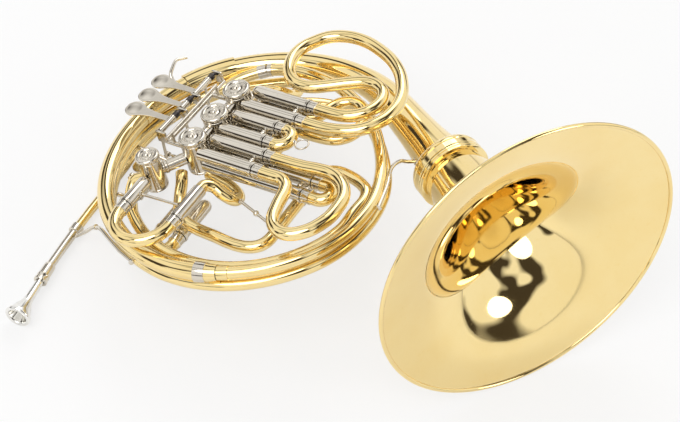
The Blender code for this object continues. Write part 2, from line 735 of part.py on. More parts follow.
def make_main_slide(parent):
    """Main tuning slide: sleeves with an elbow to the first valve, and bow."""
    inner, outer = MAIN_OFFSETS
    sleeve_a = sleeve("main_a", inner, MAIN_LEVEL, MAIN_ELBOW, MAIN_MOUTH, rounded=False)
    sleeve_b = sleeve("main_b", outer, MAIN_LEVEL, 83.0, MAIN_MOUTH)
    wall = LEG_RADIUS + SLIDE_CLEARANCE
    bar = rod("bar", (96.0, inner - wall, MAIN_LEVEL), (96.0, outer + wall, MAIN_LEVEL), 1.4, 6)
    made = combine(sleeve_a, [sleeve_b, bar])
    finish(made, parent, NICKEL, 0.2, "main_slide_sleeves")
    base = empty("main_slide_mouth", parent, (MAIN_MOUTH, 0.0, 0.0))
    crook("main_slide_crook", base, bow_route(MAIN_BOW_START, MAIN_OFFSETS, MAIN_LEVEL),
          MAIN_MOUTH, False)


def make_rear_slide(parent):
    """Tuning slide of the F side on the back of the horn."""
    parts = [sleeve(f"rear_{place}", place, REAR_LEVEL, REAR_START, REAR_MOUTH) for place in REAR_OFFSETS]
    brace = sleeve_brace("brace", REAR_OFFSETS, REAR_LEVEL, REAR_MOUTH - 10.0)
    post = rod("post", (84.0, REAR_OFFSETS[0], REAR_LEVEL + LEG_RADIUS + 0.6),
               (84.0, REAR_OFFSETS[0], CROSSING_LEVEL - TUBE_RADIUS - 0.5), 2.0)
    made = combine(parts[0], [parts[1], brace, post])
    finish(made, parent, NICKEL, 0.2, "rear_slide_sleeves")
    base = empty("rear_slide_mouth", parent, (REAR_MOUTH, 0.0, 0.0))
    crook("rear_slide_crook", base, bow_route(REAR_BOW_START, REAR_OFFSETS, REAR_LEVEL),
          REAR_MOUTH, False)


def make_loose_tubes(parent):
    """The fixed tubes that cross the middle of the horn."""
    turn = Matrix.Rotation(radians(MAIN_ANGLE), 4, "Z")
    top = turn @ Vector((MAIN_ELBOW - 0.8, MAIN_OFFSETS[0], MAIN_LEVEL))
    above = turn @ Vector((MAIN_ELBOW - 4.0, MAIN_OFFSETS[0], MAIN_LEVEL))
    elbow = smooth_route([top, above, (24.0, -55.5, 16.0), (33.0, -50.0, 8.0), (38.0, -42.5, 0.0),
                          (32.0, -36.0, -4.0), (16.0, -36.0, -4.0), (2.0, -39.5, -4.0),
                          (-8.0, -43.0, -3.5), (-17.0, -46.0, -3.5)])
    made = tube("main_elbow", elbow, TUBE_RADIUS)
    made = combine(made, [casing_cutter("own", valve_place(1))], "DIFFERENCE")
    finish(made, parent, BRASS, 0.12)
    level = CROSSING_LEVEL
    crossing = smooth_route([(-27.0, -69.0, 5.2), (-19.0, -73.0, 3.0), (-8.0, -82.0, -4.0), (10.0, -91.0, level),
                             (34.0, -90.0, level), (64.0, -77.0, level), (86.0, -67.0, level),
                             (100.0, -55.0, level), (103.0, -42.0, level), (95.0, -26.0, level),
                             (74.0, 9.0, level), (60.0, 34.0, level)])
    finish(tube("crossover_tube", crossing, TUBE_RADIUS), parent, BRASS, 0.12)
    keys = [(-150.0, 134.0, -9.0), (-100.0, 131.0, -9.0), (-60.0, 134.0, -9.0), (-30.0, 137.5, -9.0),
            (0.0, 137.0, -9.0), (12.0, 134.0, -9.0)]
    arc = spiral(keys, -98.0, 8.0)
    start = smooth_route([(59.4, 35.1, level), (55.5, 42.1, level), (58.0, 53.0, level), (72.0, 62.0, level),
                          (98.0, 67.0, level), (112.0, 61.0, level), (122.0, 44.0, level), arc[-1], arc[-2]])
    arc.reverse()
    finishing = smooth_route([arc[-2], arc[-1], (-31.0, -126.0, -7.0), (-41.0, -119.0, 2.0), (-43.0, -109.0, 10.0),
                              (-37.0, -99.0, 12.0)])
    made = tube("f_branch", start[:-1] + arc[1:-2] + finishing, TUBE_RADIUS)
    cutter = casing_cutter("own", valve_place(4), CHANGE_CASING_RADIUS)
    finish(combine(made, [cutter], "DIFFERENCE"), parent, BRASS, 0.12)


# Braces and guards

def make_hand_guard(parent):
    """Thin brass guard over the outside of the tail, where the hand lies."""
    angles = [164.0, 170.0, 176.0, 182.0]
    points = [polar(angle, COIL_RADIUS, tail_height(angle)) for angle in angles]
    inner = TAIL_LEFT_RADIUS + 1.3
    made = tube("hand_guard", points, inner + 0.9, TAIL_SIDES)
    ends = [polar(angle, COIL_RADIUS, tail_height(angle)) for angle in (158.0, *angles, 188.0)]
    bore = tube("bore", ends, inner, TAIL_SIDES)
    lower = block("lower", (-190.0, -60.0, -40.0), (-110.0, 90.0, -1.0))
    return finish(combine(made, [bore, lower], "DIFFERENCE"), parent, BRASS, 0.2)


def make_braces(parent):
    """Bent round braces between the tubes."""
    lead = smooth_route([(42.0, -156.5, -6.0), (20.0, -160.5, -7.0), (-20.0, -163.0, -9.0), (-36.0, -167.0, -14.0),
                         (-45.0, -177.0, -22.0), (-51.2, -184.6, -26.8)])
    finish(tube("leadpipe_brace", lead, 1.9, 8), parent, NICKEL, 0.2)
    bell = smooth_route([polar(24.0, 152.3, 0.0), polar(34.0, 145.0, 0.0), polar(45.0, 138.0, -3.0),
                         (86.0, 112.0, -10.0), (84.0, 122.0, -18.0), (84.0, 128.6, -21.6)])
    finish(tube("bell_brace", bell, 1.9, 8), parent, NICKEL, 0.2)
    hook = smooth_route([(-157.5, -19.3, 7.0), (-161.5, -19.0, 11.0), (-168.0, -13.0, 16.5), (-174.0, -3.0, 18.0),
                         (-175.0, 6.0, 14.5)])
    finish(tube("finger_hook", hook, 2.2, 8), parent, NICKEL, 0.2)
    profile = [(0.0, 1.5), (20.0, 1.5), (21.0, 3.0), (25.0, 3.0), (26.0, 1.5), (BRACE_REACH, 1.5)]
    start = Vector((43.5, -38.5, 0.0))
    end = Vector((88.0, -27.5, CROSSING_LEVEL + 1.0))
    made = turned("cross_brace", profile, start, end - start, 8)
    finish(made, parent, NICKEL, 0.2)


# Levers and linkage

def spring_wire(name, place, radius):
    """Open coil round a hinge shaft, as one unbroken tube along Y."""
    steps = 8
    count = SPRING_CURLS * steps
    length = SPRING_CURLS * SPRING_PITCH
    points = [
        Vector((radius * sin(2.0 * pi * k / steps), place + length * k / count, radius * cos(2.0 * pi * k / steps)))
        for k in range(count + 1)
    ]
    gap = SPRING_PITCH - 2.0 * SPRING_WIRE
    print(f"{name}: least gap between curls {gap:.2f} mm")
    return tube(name, points, SPRING_WIRE, 6)


def hub(name, first, last):
    """Hinge tube round the shaft, along Y."""
    bore = SHAFT_RADIUS + RUNNING_CLEARANCE
    profile = [(first, bore), (first, HUB_RADIUS), (last, HUB_RADIUS), (last, bore)]
    return turned(name, profile, (0.0, 0.0, 0.0), (0.0, 1.0, 0.0), 12, closed=True)


def disc(name, centre, radius, low, high, sides=16):
    """A flat round piece with its axis upright."""
    return turned(name, [(low, radius), (high, radius)], centre, (0.0, 0.0, 1.0), sides)


def make_lever(name, parent, shape):
    """A touch paddle, its arm, the hinge tube and the arm to the link.

    The frame's origin is on the hinge axis, level with the link.
    """
    reach, drop, lean, paddle_place, hub_ends = shape
    tip = Vector((-abs(drop) * sin(radians(lean)), 0.0, -drop * cos(radians(lean))))
    side = -3.4
    down = -1.0 if drop > 0 else 1.0
    made = hub(name, *hub_ends)
    arm = block("arm", (-reach + 6.0, paddle_place - 3.2, -0.9), (-2.8, paddle_place + 3.2, 0.9))
    paddle = disc("paddle", (-reach, paddle_place, 0.0), PADDLE_RADIUS, -0.9, PADDLE_THICKNESS - 0.9, 18)
    bar = rod("bar", (-0.4, side, 2.9 * down), (tip.x, side, tip.z + 1.2 * down), 1.5)
    pin = rod("pin", (tip.x, side, tip.z), (tip.x, 2.2, tip.z), PIN_RADIUS)
    return finish(combine(made, [arm, paddle, bar, pin]), parent, NICKEL, 0.2)


def make_link(name, parent, length):
    """Flat-eyed connecting rod; its far eye is wide round the stop arm's pin."""
    near = turned(name, [(-1.6, PIN_RADIUS + 0.35), (-1.6, 3.0), (1.6, 3.0), (1.6, PIN_RADIUS + 0.35)],
                  (0.0, 0.0, 0.0), (0.0, 1.0, 0.0), 10, closed=True)
    far = turned("far", [(-1.3, EYE_BORE), (-1.3, EYE_RADIUS), (1.3, EYE_RADIUS), (1.3, EYE_BORE)],
                 (length, 0.0, 0.0), (0.0, 0.0, 1.0), 12, closed=True)
    bar = rod("bar", (2.2, 0.0, 0.0), (length - EYE_BORE - 0.4, 0.0, 0.0), 1.2)
    return finish(combine(near, [bar, far]), parent, NICKEL, 0.2)


def make_rotor(name, parent):
    """Rotor stem with its stop arm and the pin that the link turns."""
    turn = radians(135.0)
    place = Vector((STOP_RADIUS * cos(turn), STOP_RADIUS * sin(turn), 0.0))
    made = turned(name, [(STEM_DEPTH - 1.0, STEM_RADIUS), (-3.4, STEM_RADIUS)], (0.0, 0.0, 0.0), (0.0, 0.0, 1.0), 12)
    plate = disc("plate", (0.0, 0.0, 0.0), 5.0, -3.6, -1.0)
    tongue = disc("tongue", place, 2.6, -3.6, -1.0, 12)
    pin = rod("pin", place + Vector((0.0, 0.0, -3.0)), place + Vector((0.0, 0.0, -8.6)), PIN_RADIUS)
    return finish(combine(made, [plate, tongue, pin]), parent, NICKEL, 0.2)


def make_lever_frame(parent):
    """Hinge shaft, its posts, the stop rail and the feet to the valves."""
    wide = VALVE_PITCH
    made = rod("lever_frame", (0.0, POSTS[0] - 1.2, 0.0), (0.0, POSTS[-1] + 1.2, 0.0), SHAFT_RADIUS, 12)
    rail_x = 9.0
    rail_z = -9.0
    rail = rod("rail", (rail_x, POSTS[0] - 1.2, rail_z), (rail_x, POSTS[-1] + 1.2, rail_z), 2.0)
    posts = [block("post", (-3.0, w - 1.2, rail_z - 1.5), (rail_x, w + 1.2, 3.0)) for w in POSTS]
    reach = -HINGE_U - CASING_RADIUS - CASING_GAP
    feet = [rod("foot", (rail_x, w, rail_z), (reach, w, rail_z), 2.4) for w in (-wide + 0.5, wide)]
    stop_x = 17.5
    uprights = [rod("upright", (stop_x, w, rail_z), (stop_x, w, 5.0), 1.5) for w in (-wide + 0.5, wide)]
    stop = rod("stop", (stop_x, -wide - 8.0, 5.0), (stop_x, wide + 2.0, 5.0), 1.6)
    return finish(combine(made, [rail, *posts, *feet, *uprights, stop]), parent, NICKEL, 0.22)


def make_thumb_bracket(parent, horn_point):
    """Thumb lever's shaft on two posts that stand on the lower coil layer."""
    made = rod("thumb_bracket", (0.0, THUMB_POSTS[0], 0.0), (0.0, THUMB_POSTS[1], 0.0), SHAFT_RADIUS, 12)
    posts = []
    for place in THUMB_POSTS:
        foot = horn_point(place)
        posts.append(rod("post", (0.0, place, 0.0), foot, 2.4))
    return finish(combine(made, posts), parent, NICKEL, 0.22)


def coil_foot(frame, place):
    """Where a post from the thumb shaft meets the lower coil layer."""
    shaft = frame @ Vector((0.0, place, 0.0))
    outward = Vector((shaft.x, shaft.y, 0.0)).normalized()
    axis = outward * COIL_RADIUS + Vector((0.0, 0.0, -LAYER_DROP))
    back = (shaft - axis).normalized()
    return frame.inverted() @ (axis + back * (TUBE_RADIUS + 0.9))


def make_levers(root):
    """The three finger levers and the thumb lever with their linkage."""
    row = empty("row_frame", root, MIDDLE_VALVE, (0.0, 0.0, radians(ROW_ANGLE)))
    hinge = empty("hinge_line", row, (HINGE_U, 0.0, HINGE_Z))
    make_lever_frame(hinge)
    lean = LEVER_TRAVEL / 2.0
    for number in (1, 2, 3):
        pin_w = VALVE_PITCH * (number - 2) + PIN_SIDE
        paddle = LEVER_PLACES[number - 1] - pin_w
        ends = (min(paddle, 0.0) - HUB_END, max(paddle, 0.0) + HUB_END)
        frame = empty(f"lever_{number}_hinge", row, (HINGE_U, pin_w, HINGE_Z))
        make_lever(f"lever_{number}", frame, (LEVER_REACH, LEVER_DROP, lean, paddle, ends))
        spring = spring_wire(f"spring_{number}", pin_w + ends[1] + 0.9, SPRING_RADIUS)
        finish(spring, hinge, STEEL, 0.4)
        tip = (HINGE_U - LEVER_DROP * sin(radians(lean)), pin_w, HINGE_Z - LEVER_DROP * cos(radians(lean)))
        joint = empty(f"link_{number}_pivot", row, tip)
        make_link(f"link_{number}", joint, -STOP_RADIUS * cos(radians(45.0)) - tip[0])
        seat = bpy.data.objects[f"valve_{number}"]
        make_rotor(f"rotor_{number}", empty(f"rotor_{number}_axis", seat, (0.0, 0.0, 0.0)))
    make_thumb(root, row)


def make_thumb(root, row):
    """The thumb lever on the back, which turns the change valve."""
    change_u = CHANGE_VALVE_U
    change_w = CHANGE_VALVE_W - VALVE_PITCH
    pin_w = change_w + PIN_SIDE
    lean = THUMB_TRAVEL / 2.0
    line = empty("thumb_line", row, (THUMB_U, 0.0, THUMB_Z))
    turn = Matrix.Rotation(radians(ROW_ANGLE), 4, "Z")
    frame = Matrix.Translation(MIDDLE_VALVE) @ turn @ Matrix.Translation((THUMB_U, 0.0, THUMB_Z))
    make_thumb_bracket(line, lambda place: coil_foot(frame, place))
    hinge = empty("thumb_hinge", row, (THUMB_U, pin_w, THUMB_Z))
    paddle = THUMB_PADDLE_W - pin_w
    ends = (-HUB_END - 1.5, paddle + HUB_END)
    make_lever("thumb_lever", hinge, (THUMB_REACH, -THUMB_DROP, lean, paddle, ends))
    finish(spring_wire("thumb_spring", pin_w + ends[1] + 0.9, SPRING_RADIUS), line, STEEL, 0.4)
    tip = (THUMB_U - THUMB_DROP * sin(radians(lean)), pin_w, THUMB_Z + THUMB_DROP * cos(radians(lean)))
    joint = empty("thumb_link_pivot", row, tip)
    make_link("thumb_link", joint, change_u - STOP_RADIUS * cos(radians(45.0)) - tip[0])
    seat = bpy.data.objects["valve_4"]
    make_rotor("change_rotor", empty("change_rotor_axis", seat, (0.0, 0.0, 0.0)))


def settle(root):
    """Put the bottom centre of the whole horn's box at the origin."""
    bpy.context.view_layer.update()
    low = Vector((1e9, 1e9, 1e9))
    high = -low
    for item in bpy.data.objects:
        if item.type != "MESH":
            continue
        for vertex in item.data.vertices:
            place = item.matrix_world @ vertex.co
            low = Vector(map(min, low, place))
            high = Vector(map(max, high, place))
    root.location -= Vector(((low.x + high.x) / 2.0, (low.y + high.y) / 2.0, low.z))
    bpy.context.view_layer.update()


def build():
    """Build the whole horn."""
    clear_scene()
    root = empty("horn", None, (0.0, 0.0, 0.0), (radians(LAY_ROLL), radians(LAY_PITCH), 0.0))
    bell = empty("bell_joint", root, RING_CENTRE, (0.0, radians(BELL_TILT), 0.0))
    make_bell(bell)
    make_screw_ring(bell)
    make_tail(root)
    make_branch(root)
    make_branch_ferrule(root)
    make_outer_coil(root)
    make_inner_coil(root)
    make_leadpipe(root)
    make_receiver(root)
    axis = mouth_axis()
    turn = Vector((1.0, 0.0, 0.0)).rotation_difference(axis).to_euler()
    mouth = empty("mouthpiece_joint", root, LEADPIPE_END + axis * (RECEIVER_LENGTH + 0.4), turn)
    make_mouthpiece(mouth)
    for number in (1, 2, 3, 4):
        seat = empty(f"valve_{number}", root, valve_place(number), (0.0, 0.0, radians(ROW_ANGLE)))
        make_casing(number, seat)
        make_cap(number, seat)
        if number < 4:
            make_valve_slides(number, seat)
    tuning = empty("tuning_frame", root, (0.0, 0.0, 0.0), (0.0, 0.0, radians(MAIN_ANGLE)))
    make_main_slide(tuning)
    make_rear_slide(tuning)
    make_loose_tubes(root)
    make_hand_guard(root)
    make_braces(root)
    make_levers(root)
    settle(root)


build()
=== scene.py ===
"""Looks of the double french horn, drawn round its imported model.

Every piece is drawn in the horn's own plan in millimetres, as the CAD source
draws it, and one fixed matrix then lays it on the table in metres.
"""

import json
import logging
from dataclasses import dataclass, field
from enum import Enum
from math import ceil, cos, degrees, pi, radians, sin

import bmesh
import bpy
from mathutils import Euler, Matrix, Vector
from mathutils.geometry import interpolate_bezier


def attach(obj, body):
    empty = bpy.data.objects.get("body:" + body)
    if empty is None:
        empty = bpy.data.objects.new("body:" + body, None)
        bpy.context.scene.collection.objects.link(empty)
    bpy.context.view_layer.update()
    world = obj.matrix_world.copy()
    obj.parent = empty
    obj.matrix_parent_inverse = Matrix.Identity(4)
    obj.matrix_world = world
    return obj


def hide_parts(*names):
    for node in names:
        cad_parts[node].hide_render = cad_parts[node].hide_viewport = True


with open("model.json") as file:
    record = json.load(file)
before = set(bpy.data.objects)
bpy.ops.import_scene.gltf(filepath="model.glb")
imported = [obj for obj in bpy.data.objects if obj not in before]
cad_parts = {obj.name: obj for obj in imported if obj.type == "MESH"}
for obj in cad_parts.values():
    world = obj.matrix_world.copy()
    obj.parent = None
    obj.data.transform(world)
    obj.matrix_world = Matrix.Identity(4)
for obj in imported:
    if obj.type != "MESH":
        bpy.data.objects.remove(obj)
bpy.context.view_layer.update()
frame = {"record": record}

LOG = logging.getLogger("horn")
Point = Vector | tuple[float, float, float]
Route = list[Vector]
Profile = list[tuple[float, float]]
Colour = tuple[float, float, float]

MM = 0.001
LAY_TURN = Euler((radians(11.8), radians(-17.9), 0.0)).to_matrix()
LAY = Matrix.Translation((-0.0523, -0.02187, 0.0871)) @ LAY_TURN.to_4x4() @ Matrix.Scale(MM, 4)
ORIGIN = (0.0, 0.0, 0.0)
X_AXIS = (1.0, 0.0, 0.0)
Y_AXIS = (0.0, 1.0, 0.0)
Z_AXIS = (0.0, 0.0, 1.0)
BLACK = (0.0, 0.0, 0.0)
WHITE = (1.0, 1.0, 1.0)

COIL_RADIUS = 152.0
LAYER_DROP = 15.6
TUBE_RADIUS = 6.0
ROW_ANGLE = 28.4
MAIN_ANGLE = -59.3
VALVE_PITCH = 37.0
MIDDLE_VALVE = Vector((-44.8, -15.1, 0.0))
CHANGE = 4
CHANGE_VALVE = (-26.8, -38.7)
CASING_RADIUS = 13.3
CHANGE_CASING_RADIUS = 11.5
CASING_TOP = 36.0
COLLAR_RADIUS = 6.8
STOP_REACH = 7.0
STOP_ANGLE = 135.0
LINK_SIDE = 6.0
THIN_BAR = 1.5
BRACE_RADIUS = 1.9

FINE_TURN = 5.0
COIL_STEP = 2.0
SHARP_ANGLE = 38.0
SAME_POINT = 1e-4
MERGE_DISTANCE = 0.0005


class Metal(Enum):
    """The finishes that a piece can have."""

    BRASS = 0
    NICKEL = 1
    SILVER = 2
    STEEL = 3


class Socket:
    """A node socket that builds Math nodes when it is used in arithmetic."""

    def __init__(self, shader: "Shader", socket: bpy.types.NodeSocket) -> None:
        """Keep the socket and the shader that its nodes go into."""
        self.shader = shader
        self.socket = socket

    def _math(self, operation: str, other: object) -> "Socket":
        """Add one Math node, and wrap its result."""
        return self.shader.add("ShaderNodeMath", {"operation": operation}, {0: self, 1: other})

    def __add__(self, other: object) -> "Socket":
        """Sum."""
        return self._math("ADD", other)

    def __mul__(self, other: object) -> "Socket":
        """Product."""
        return self._math("MULTIPLY", other)


class Shader:
    """The node tree of one material or world, with one way to add nodes."""

    def __init__(self, owner: bpy.types.ID) -> None:
        """Start from the owner's own node tree."""
        owner.use_nodes = True
        self.tree = owner.node_tree

    def add(self, kind: str, settings: dict[str, object] | None = None,
            values: dict[object, object] | None = None, output: object = 0) -> Socket:
        """Add one node.

        Args:
            kind: The node's type.
            settings: Its own properties.
            values: Numbers, colours or Sockets for its inputs.
            output: The output that the result wraps.

        Returns:
            The wrapped output socket.
        """
        node = self.tree.nodes.new(kind)
        for key, value in (settings or {}).items():
            setattr(node, key, value)
        for key, value in (values or {}).items():
            self.feed(node.inputs[key], value)
        return Socket(self, node.outputs[output])

    def feed(self, target: bpy.types.NodeSocket, value: object) -> None:
        """Link a Socket to an input, or set its number or colour.

        Args:
            target: The input.
            value: A Socket, a number or a colour.
        """
        if isinstance(value, Socket):
            self.tree.links.new(value.socket, target)
        elif isinstance(value, tuple) and len(value) == 3 and target.type == "RGBA":
            target.default_value = (*value, 1.0)
        else:
            target.default_value = value

    def ramp(self, source: Socket, levels: tuple[float, float], dark: Colour = BLACK) -> Socket:
        """Fade from a dark tone to white between two levels of a value.

        Args:
            source: The value.
            levels: Where the fade starts and ends.
            dark: The dark tone.

        Returns:
            The wrapped colour.
        """
        made = self.add("ShaderNodeValToRGB", {}, {"Fac": source})
        elements = made.socket.node.color_ramp.elements
        for element, level, colour in zip(elements, levels, (dark, WHITE)):
            element.position = level
            element.color = (*colour, 1.0)
        return made

    def mix(self, factor: Socket, first: object, second: object) -> Socket:
        """Mix two colours by a factor."""
        return self.add("ShaderNodeMix", {"data_type": "RGBA"}, {0: factor, 6: first, 7: second}, 2)


@dataclass(frozen=True)
class Finish:
    """One polished metal with its lacquer, haze, handling marks and ripple."""

    name: str
    colour: Colour
    aged: Colour
    roughness: float
    haze: float
    coat: float = 0.0
    ripple: float = 0.02
    patch_scale: float = 18.0
    patch_levels: tuple[float, float] = (0.42, 0.72)
    patch_tint: float = 0.45
    mark_scale: float = 260.0
    mark_levels: tuple[float, float] = (0.60, 0.74)
    mark_tint: float = 0.25
    mark_haze: float = 0.8
    mark_height: float = 0.012
    ripple_scale: float = 57.6
    ripple_height: float = 0.7
    bump_depth: float = 0.004
    coat_roughness: float = 0.05

    def make(self) -> bpy.types.Material:
        """Build the material.

        Returns:
            A Principled material whose marks follow Object coordinates.
        """
        made = bpy.data.materials.new(self.name)
        shader = Shader(made)
        place = shader.add("ShaderNodeTexCoord", output="Object")
        noise = "ShaderNodeTexNoise"
        patches = shader.add(noise, {}, {
            "Vector": place, "Scale": self.patch_scale, "Detail": 4.0, "Roughness": 0.55,
        })
        marks = shader.add(noise, {}, {
            "Vector": place, "Scale": self.mark_scale, "Detail": 3.0, "Distortion": 0.6,
        })
        ripple = shader.add(noise, {}, {"Vector": place, "Scale": self.ripple_scale, "Detail": 1.0})
        aged = shader.ramp(patches, self.patch_levels)
        spots = shader.ramp(marks, self.mark_levels)
        colour = shader.mix(aged * self.patch_tint + spots * self.mark_tint, self.colour, self.aged)
        rough = aged * self.haze + spots * (self.haze * self.mark_haze) + self.roughness
        bump = shader.add("ShaderNodeBump", {}, {
            "Strength": self.ripple, "Distance": self.bump_depth,
            "Height": ripple * self.ripple_height + marks * self.mark_height,
        })
        inputs = shader.tree.nodes["Principled BSDF"].inputs
        for name, value in (("Base Color", colour), ("Roughness", rough), ("Normal", bump), ("Metallic", 1.0),
                            ("Coat Weight", self.coat), ("Coat Roughness", self.coat_roughness)):
            shader.feed(inputs[name], value)
        return made


FINISHES = {
    Metal.BRASS: Finish("lacquered_brass", (0.92, 0.73, 0.35), (0.88, 0.65, 0.25), 0.045, 0.035, 0.35, 0.012),
    Metal.NICKEL: Finish("nickel_silver", (0.72, 0.67, 0.58), (0.58, 0.52, 0.43), 0.085, 0.07, 0.15),
    Metal.SILVER: Finish("silver_plate", (0.86, 0.85, 0.82), (0.70, 0.68, 0.62), 0.06, 0.06),
    Metal.STEEL: Finish("blued_steel", (0.12, 0.11, 0.11), (0.05, 0.05, 0.06), 0.28, 0.15),
}


def fixed(x: float, y: float, z: float) -> Vector:
    """A dataclass field that starts as a vector of its own."""
    return field(default_factory=lambda: Vector((x, y, z)))


def station(point: Vector, forward: Vector, side: Vector, radius: float) -> Matrix:
    """One place on a sweep.

    Args:
        point: The ring's centre.
        forward: The direction of travel.
        side: Any direction that isn't along it.
        radius: The ring's radius.

    Returns:
        The matrix that takes a unit circle there.
    """
    up = forward.cross(side).normalized()
    across = up.cross(forward).normalized()
    made = Matrix((across * radius, up * radius, forward.normalized())).transposed().to_4x4()
    made.translation = point
    return made


def directions(points: Route) -> tuple[Route, Route]:
    """Unit tangents along a route, and side vectors that don't twist.

    Args:
        points: The route.

    Returns:
        The tangents and the side vectors, one each for every point.
    """
    forward = []
    last = len(points) - 1
    for index, point in enumerate(points):
        into = (point - points[index - 1]).normalized() if index else Vector()
        out = (points[index + 1] - point).normalized() if index < last else Vector()
        forward.append((into + out).normalized())
    start = Vector(X_AXIS) if abs(forward[0].z) > 0.9 else Vector(Z_AXIS)
    side = (start - forward[0] * start.dot(forward[0])).normalized()
    sides = [side]
    for first, second in zip(forward, forward[1:]):
        side = first.rotation_difference(second) @ side
        sides.append(side.copy())
    return forward, sides


def open_row(bm: bmesh.types.BMesh, points: list[Point]) -> list[bmesh.types.BMEdge]:
    """Join new vertices at the points into one row of edges."""
    verts = [bm.verts.new(point) for point in points]
    return [bm.edges.new(pair) for pair in zip(verts, verts[1:])]


def carry(bm: bmesh.types.BMesh, edges: list[bmesh.types.BMEdge],
          stations: list[Matrix]) -> list[bmesh.types.BMEdge]:
    """Extrude edges that stand at the first station through all the others.

    Args:
        bm: The bmesh that holds them.
        edges: The edges at the first station.
        stations: The matrices to pass.

    Returns:
        The edges at the last station.
    """
    for before, after in zip(stations, stations[1:]):
        grown = bmesh.ops.extrude_edge_only(bm, edges=edges)["geom"]
        verts = [item for item in grown if isinstance(item, bmesh.types.BMVert)]
        own = set(verts)
        edges = [item for item in grown if isinstance(item, bmesh.types.BMEdge)
                 and own.issuperset(item.verts)]
        bmesh.ops.transform(bm, matrix=after @ before.inverted(), verts=verts)
    return edges


def sweep(stations: list[Matrix], sides: int) -> bmesh.types.BMesh:
    """Extrude a circle through its stations and close both ends.

    Args:
        stations: The matrices from station().
        sides: How many sides the circle has.

    Returns:
        A closed bmesh.
    """
    bm = bmesh.new()
    bmesh.ops.create_circle(bm, cap_ends=True, radius=1.0, segments=sides, matrix=stations[0])
    bmesh.ops.edgeloop_fill(bm, edges=carry(bm, list(bm.edges), stations))
    bmesh.ops.recalc_face_normals(bm, faces=bm.faces)
    return bm


def tube(points: list[Point], radii: float | list[float], sides: int) -> bmesh.types.BMesh:
    """A swept round tube with closed ends.

    Args:
        points: Its middle line.
        radii: One radius, or one for each point.
        sides: How many sides it has.

    Returns:
        A closed bmesh.
    """
    points = [Vector(point) for point in points]
    if not isinstance(radii, list):
        radii = [radii] * len(points)
    return sweep([station(*parts) for parts in zip(points, *directions(points), radii)], sides)


def turned(profile: Profile, start: Point, axis: Point, sides: int,
           closed: bool = False) -> bmesh.types.BMesh:
    """Spin a profile round an axis.

    Args:
        profile: Points of (distance along the axis, radius).
        start: Where the distance is zero.
        axis: The axis' direction.
        sides: The number of steps.
        closed: Whether the profile is a closed loop clear of the axis.

    Returns:
        A closed bmesh.
    """
    bm = bmesh.new()
    if not closed:
        profile = [(profile[0][0], 0.0), *profile, (profile[-1][0], 0.0)]
    edges = open_row(bm, [(distance, radius, 0.0) for distance, radius in profile])
    verts = list(bm.verts)
    if closed:
        edges.append(bm.edges.new((verts[-1], verts[0])))
    bmesh.ops.spin(bm, geom=verts + edges, cent=ORIGIN, axis=X_AXIS, angle=2.0 * pi, steps=sides,
                   use_merge=True)
    bmesh.ops.remove_doubles(bm, verts=bm.verts, dist=MERGE_DISTANCE)
    bmesh.ops.recalc_face_normals(bm, faces=bm.faces)
    turn = Vector(X_AXIS).rotation_difference(Vector(axis)).to_matrix().to_4x4()
    bmesh.ops.transform(bm, matrix=Matrix.Translation(Vector(start)) @ turn, verts=bm.verts)
    return bm


def rod(first: Point, second: Point, radius: float, sides: int) -> bmesh.types.BMesh:
    """A straight round bar with softly rounded ends.

    Args:
        first: One end.
        second: The other end.
        radius: Its radius.
        sides: How many sides it has.

    Returns:
        A closed bmesh.
    """
    first = Vector(first)
    axis = Vector(second) - first
    length = axis.length
    edge = min(0.3 * radius, 0.2 * length)
    profile = [(0.0, radius - edge), (edge, radius), (length - edge, radius), (length, radius - edge)]
    return turned(profile, first, axis, sides)


def block(low: Point, high: Point, edge: float) -> bmesh.types.BMesh:
    """A box with bevelled edges between two corners.

    Args:
        low: One corner.
        high: The opposite corner.
        edge: How wide the bevel is.

    Returns:
        A closed bmesh.
    """
    bm = bmesh.new()
    low = Vector(low)
    high = Vector(high)
    bmesh.ops.create_cube(bm, size=1.0)
    bmesh.ops.scale(bm, vec=high - low, verts=bm.verts)
    bmesh.ops.translate(bm, vec=(low + high) / 2.0, verts=bm.verts)
    bmesh.ops.bevel(bm, geom=bm.edges[:], offset=edge, segments=2, affect="EDGES", profile=0.5, material=-1)
    return bm


def smooth_route(points: list[Point]) -> Route:
    """Read a smooth curve through a route's own points, in stretches that bend little.

    Args:
        points: The points that it passes.

    Returns:
        The points and those between them.
    """
    handle = 0.36
    points = [Vector(point) for point in points]
    last = len(points) - 1
    tangents = [(points[min(i + 1, last)] - points[max(i - 1, 0)]).normalized() for i in range(last + 1)]
    tangents[1] = tangents[0]
    tangents[-2] = tangents[-1]
    route = [points[0]]
    for index, (first, second) in enumerate(zip(points, points[1:])):
        leave, arrive = tangents[index:index + 2]
        step = second - first
        reach = step.length * handle
        bend = degrees(leave.angle(arrive))
        bend += degrees(step.normalized().angle(leave)) / 2.0
        count = max(2, ceil(bend / FINE_TURN))
        route += interpolate_bezier(first, first + leave * reach, second - arrive * reach, second,
                                    count + 1)[1:]
    return route


def index_of(route: Route, place: Vector) -> int:
    """Where a route passes one of its own points."""
    return next(i for i, point in enumerate(route) if (point - place).length < SAME_POINT)


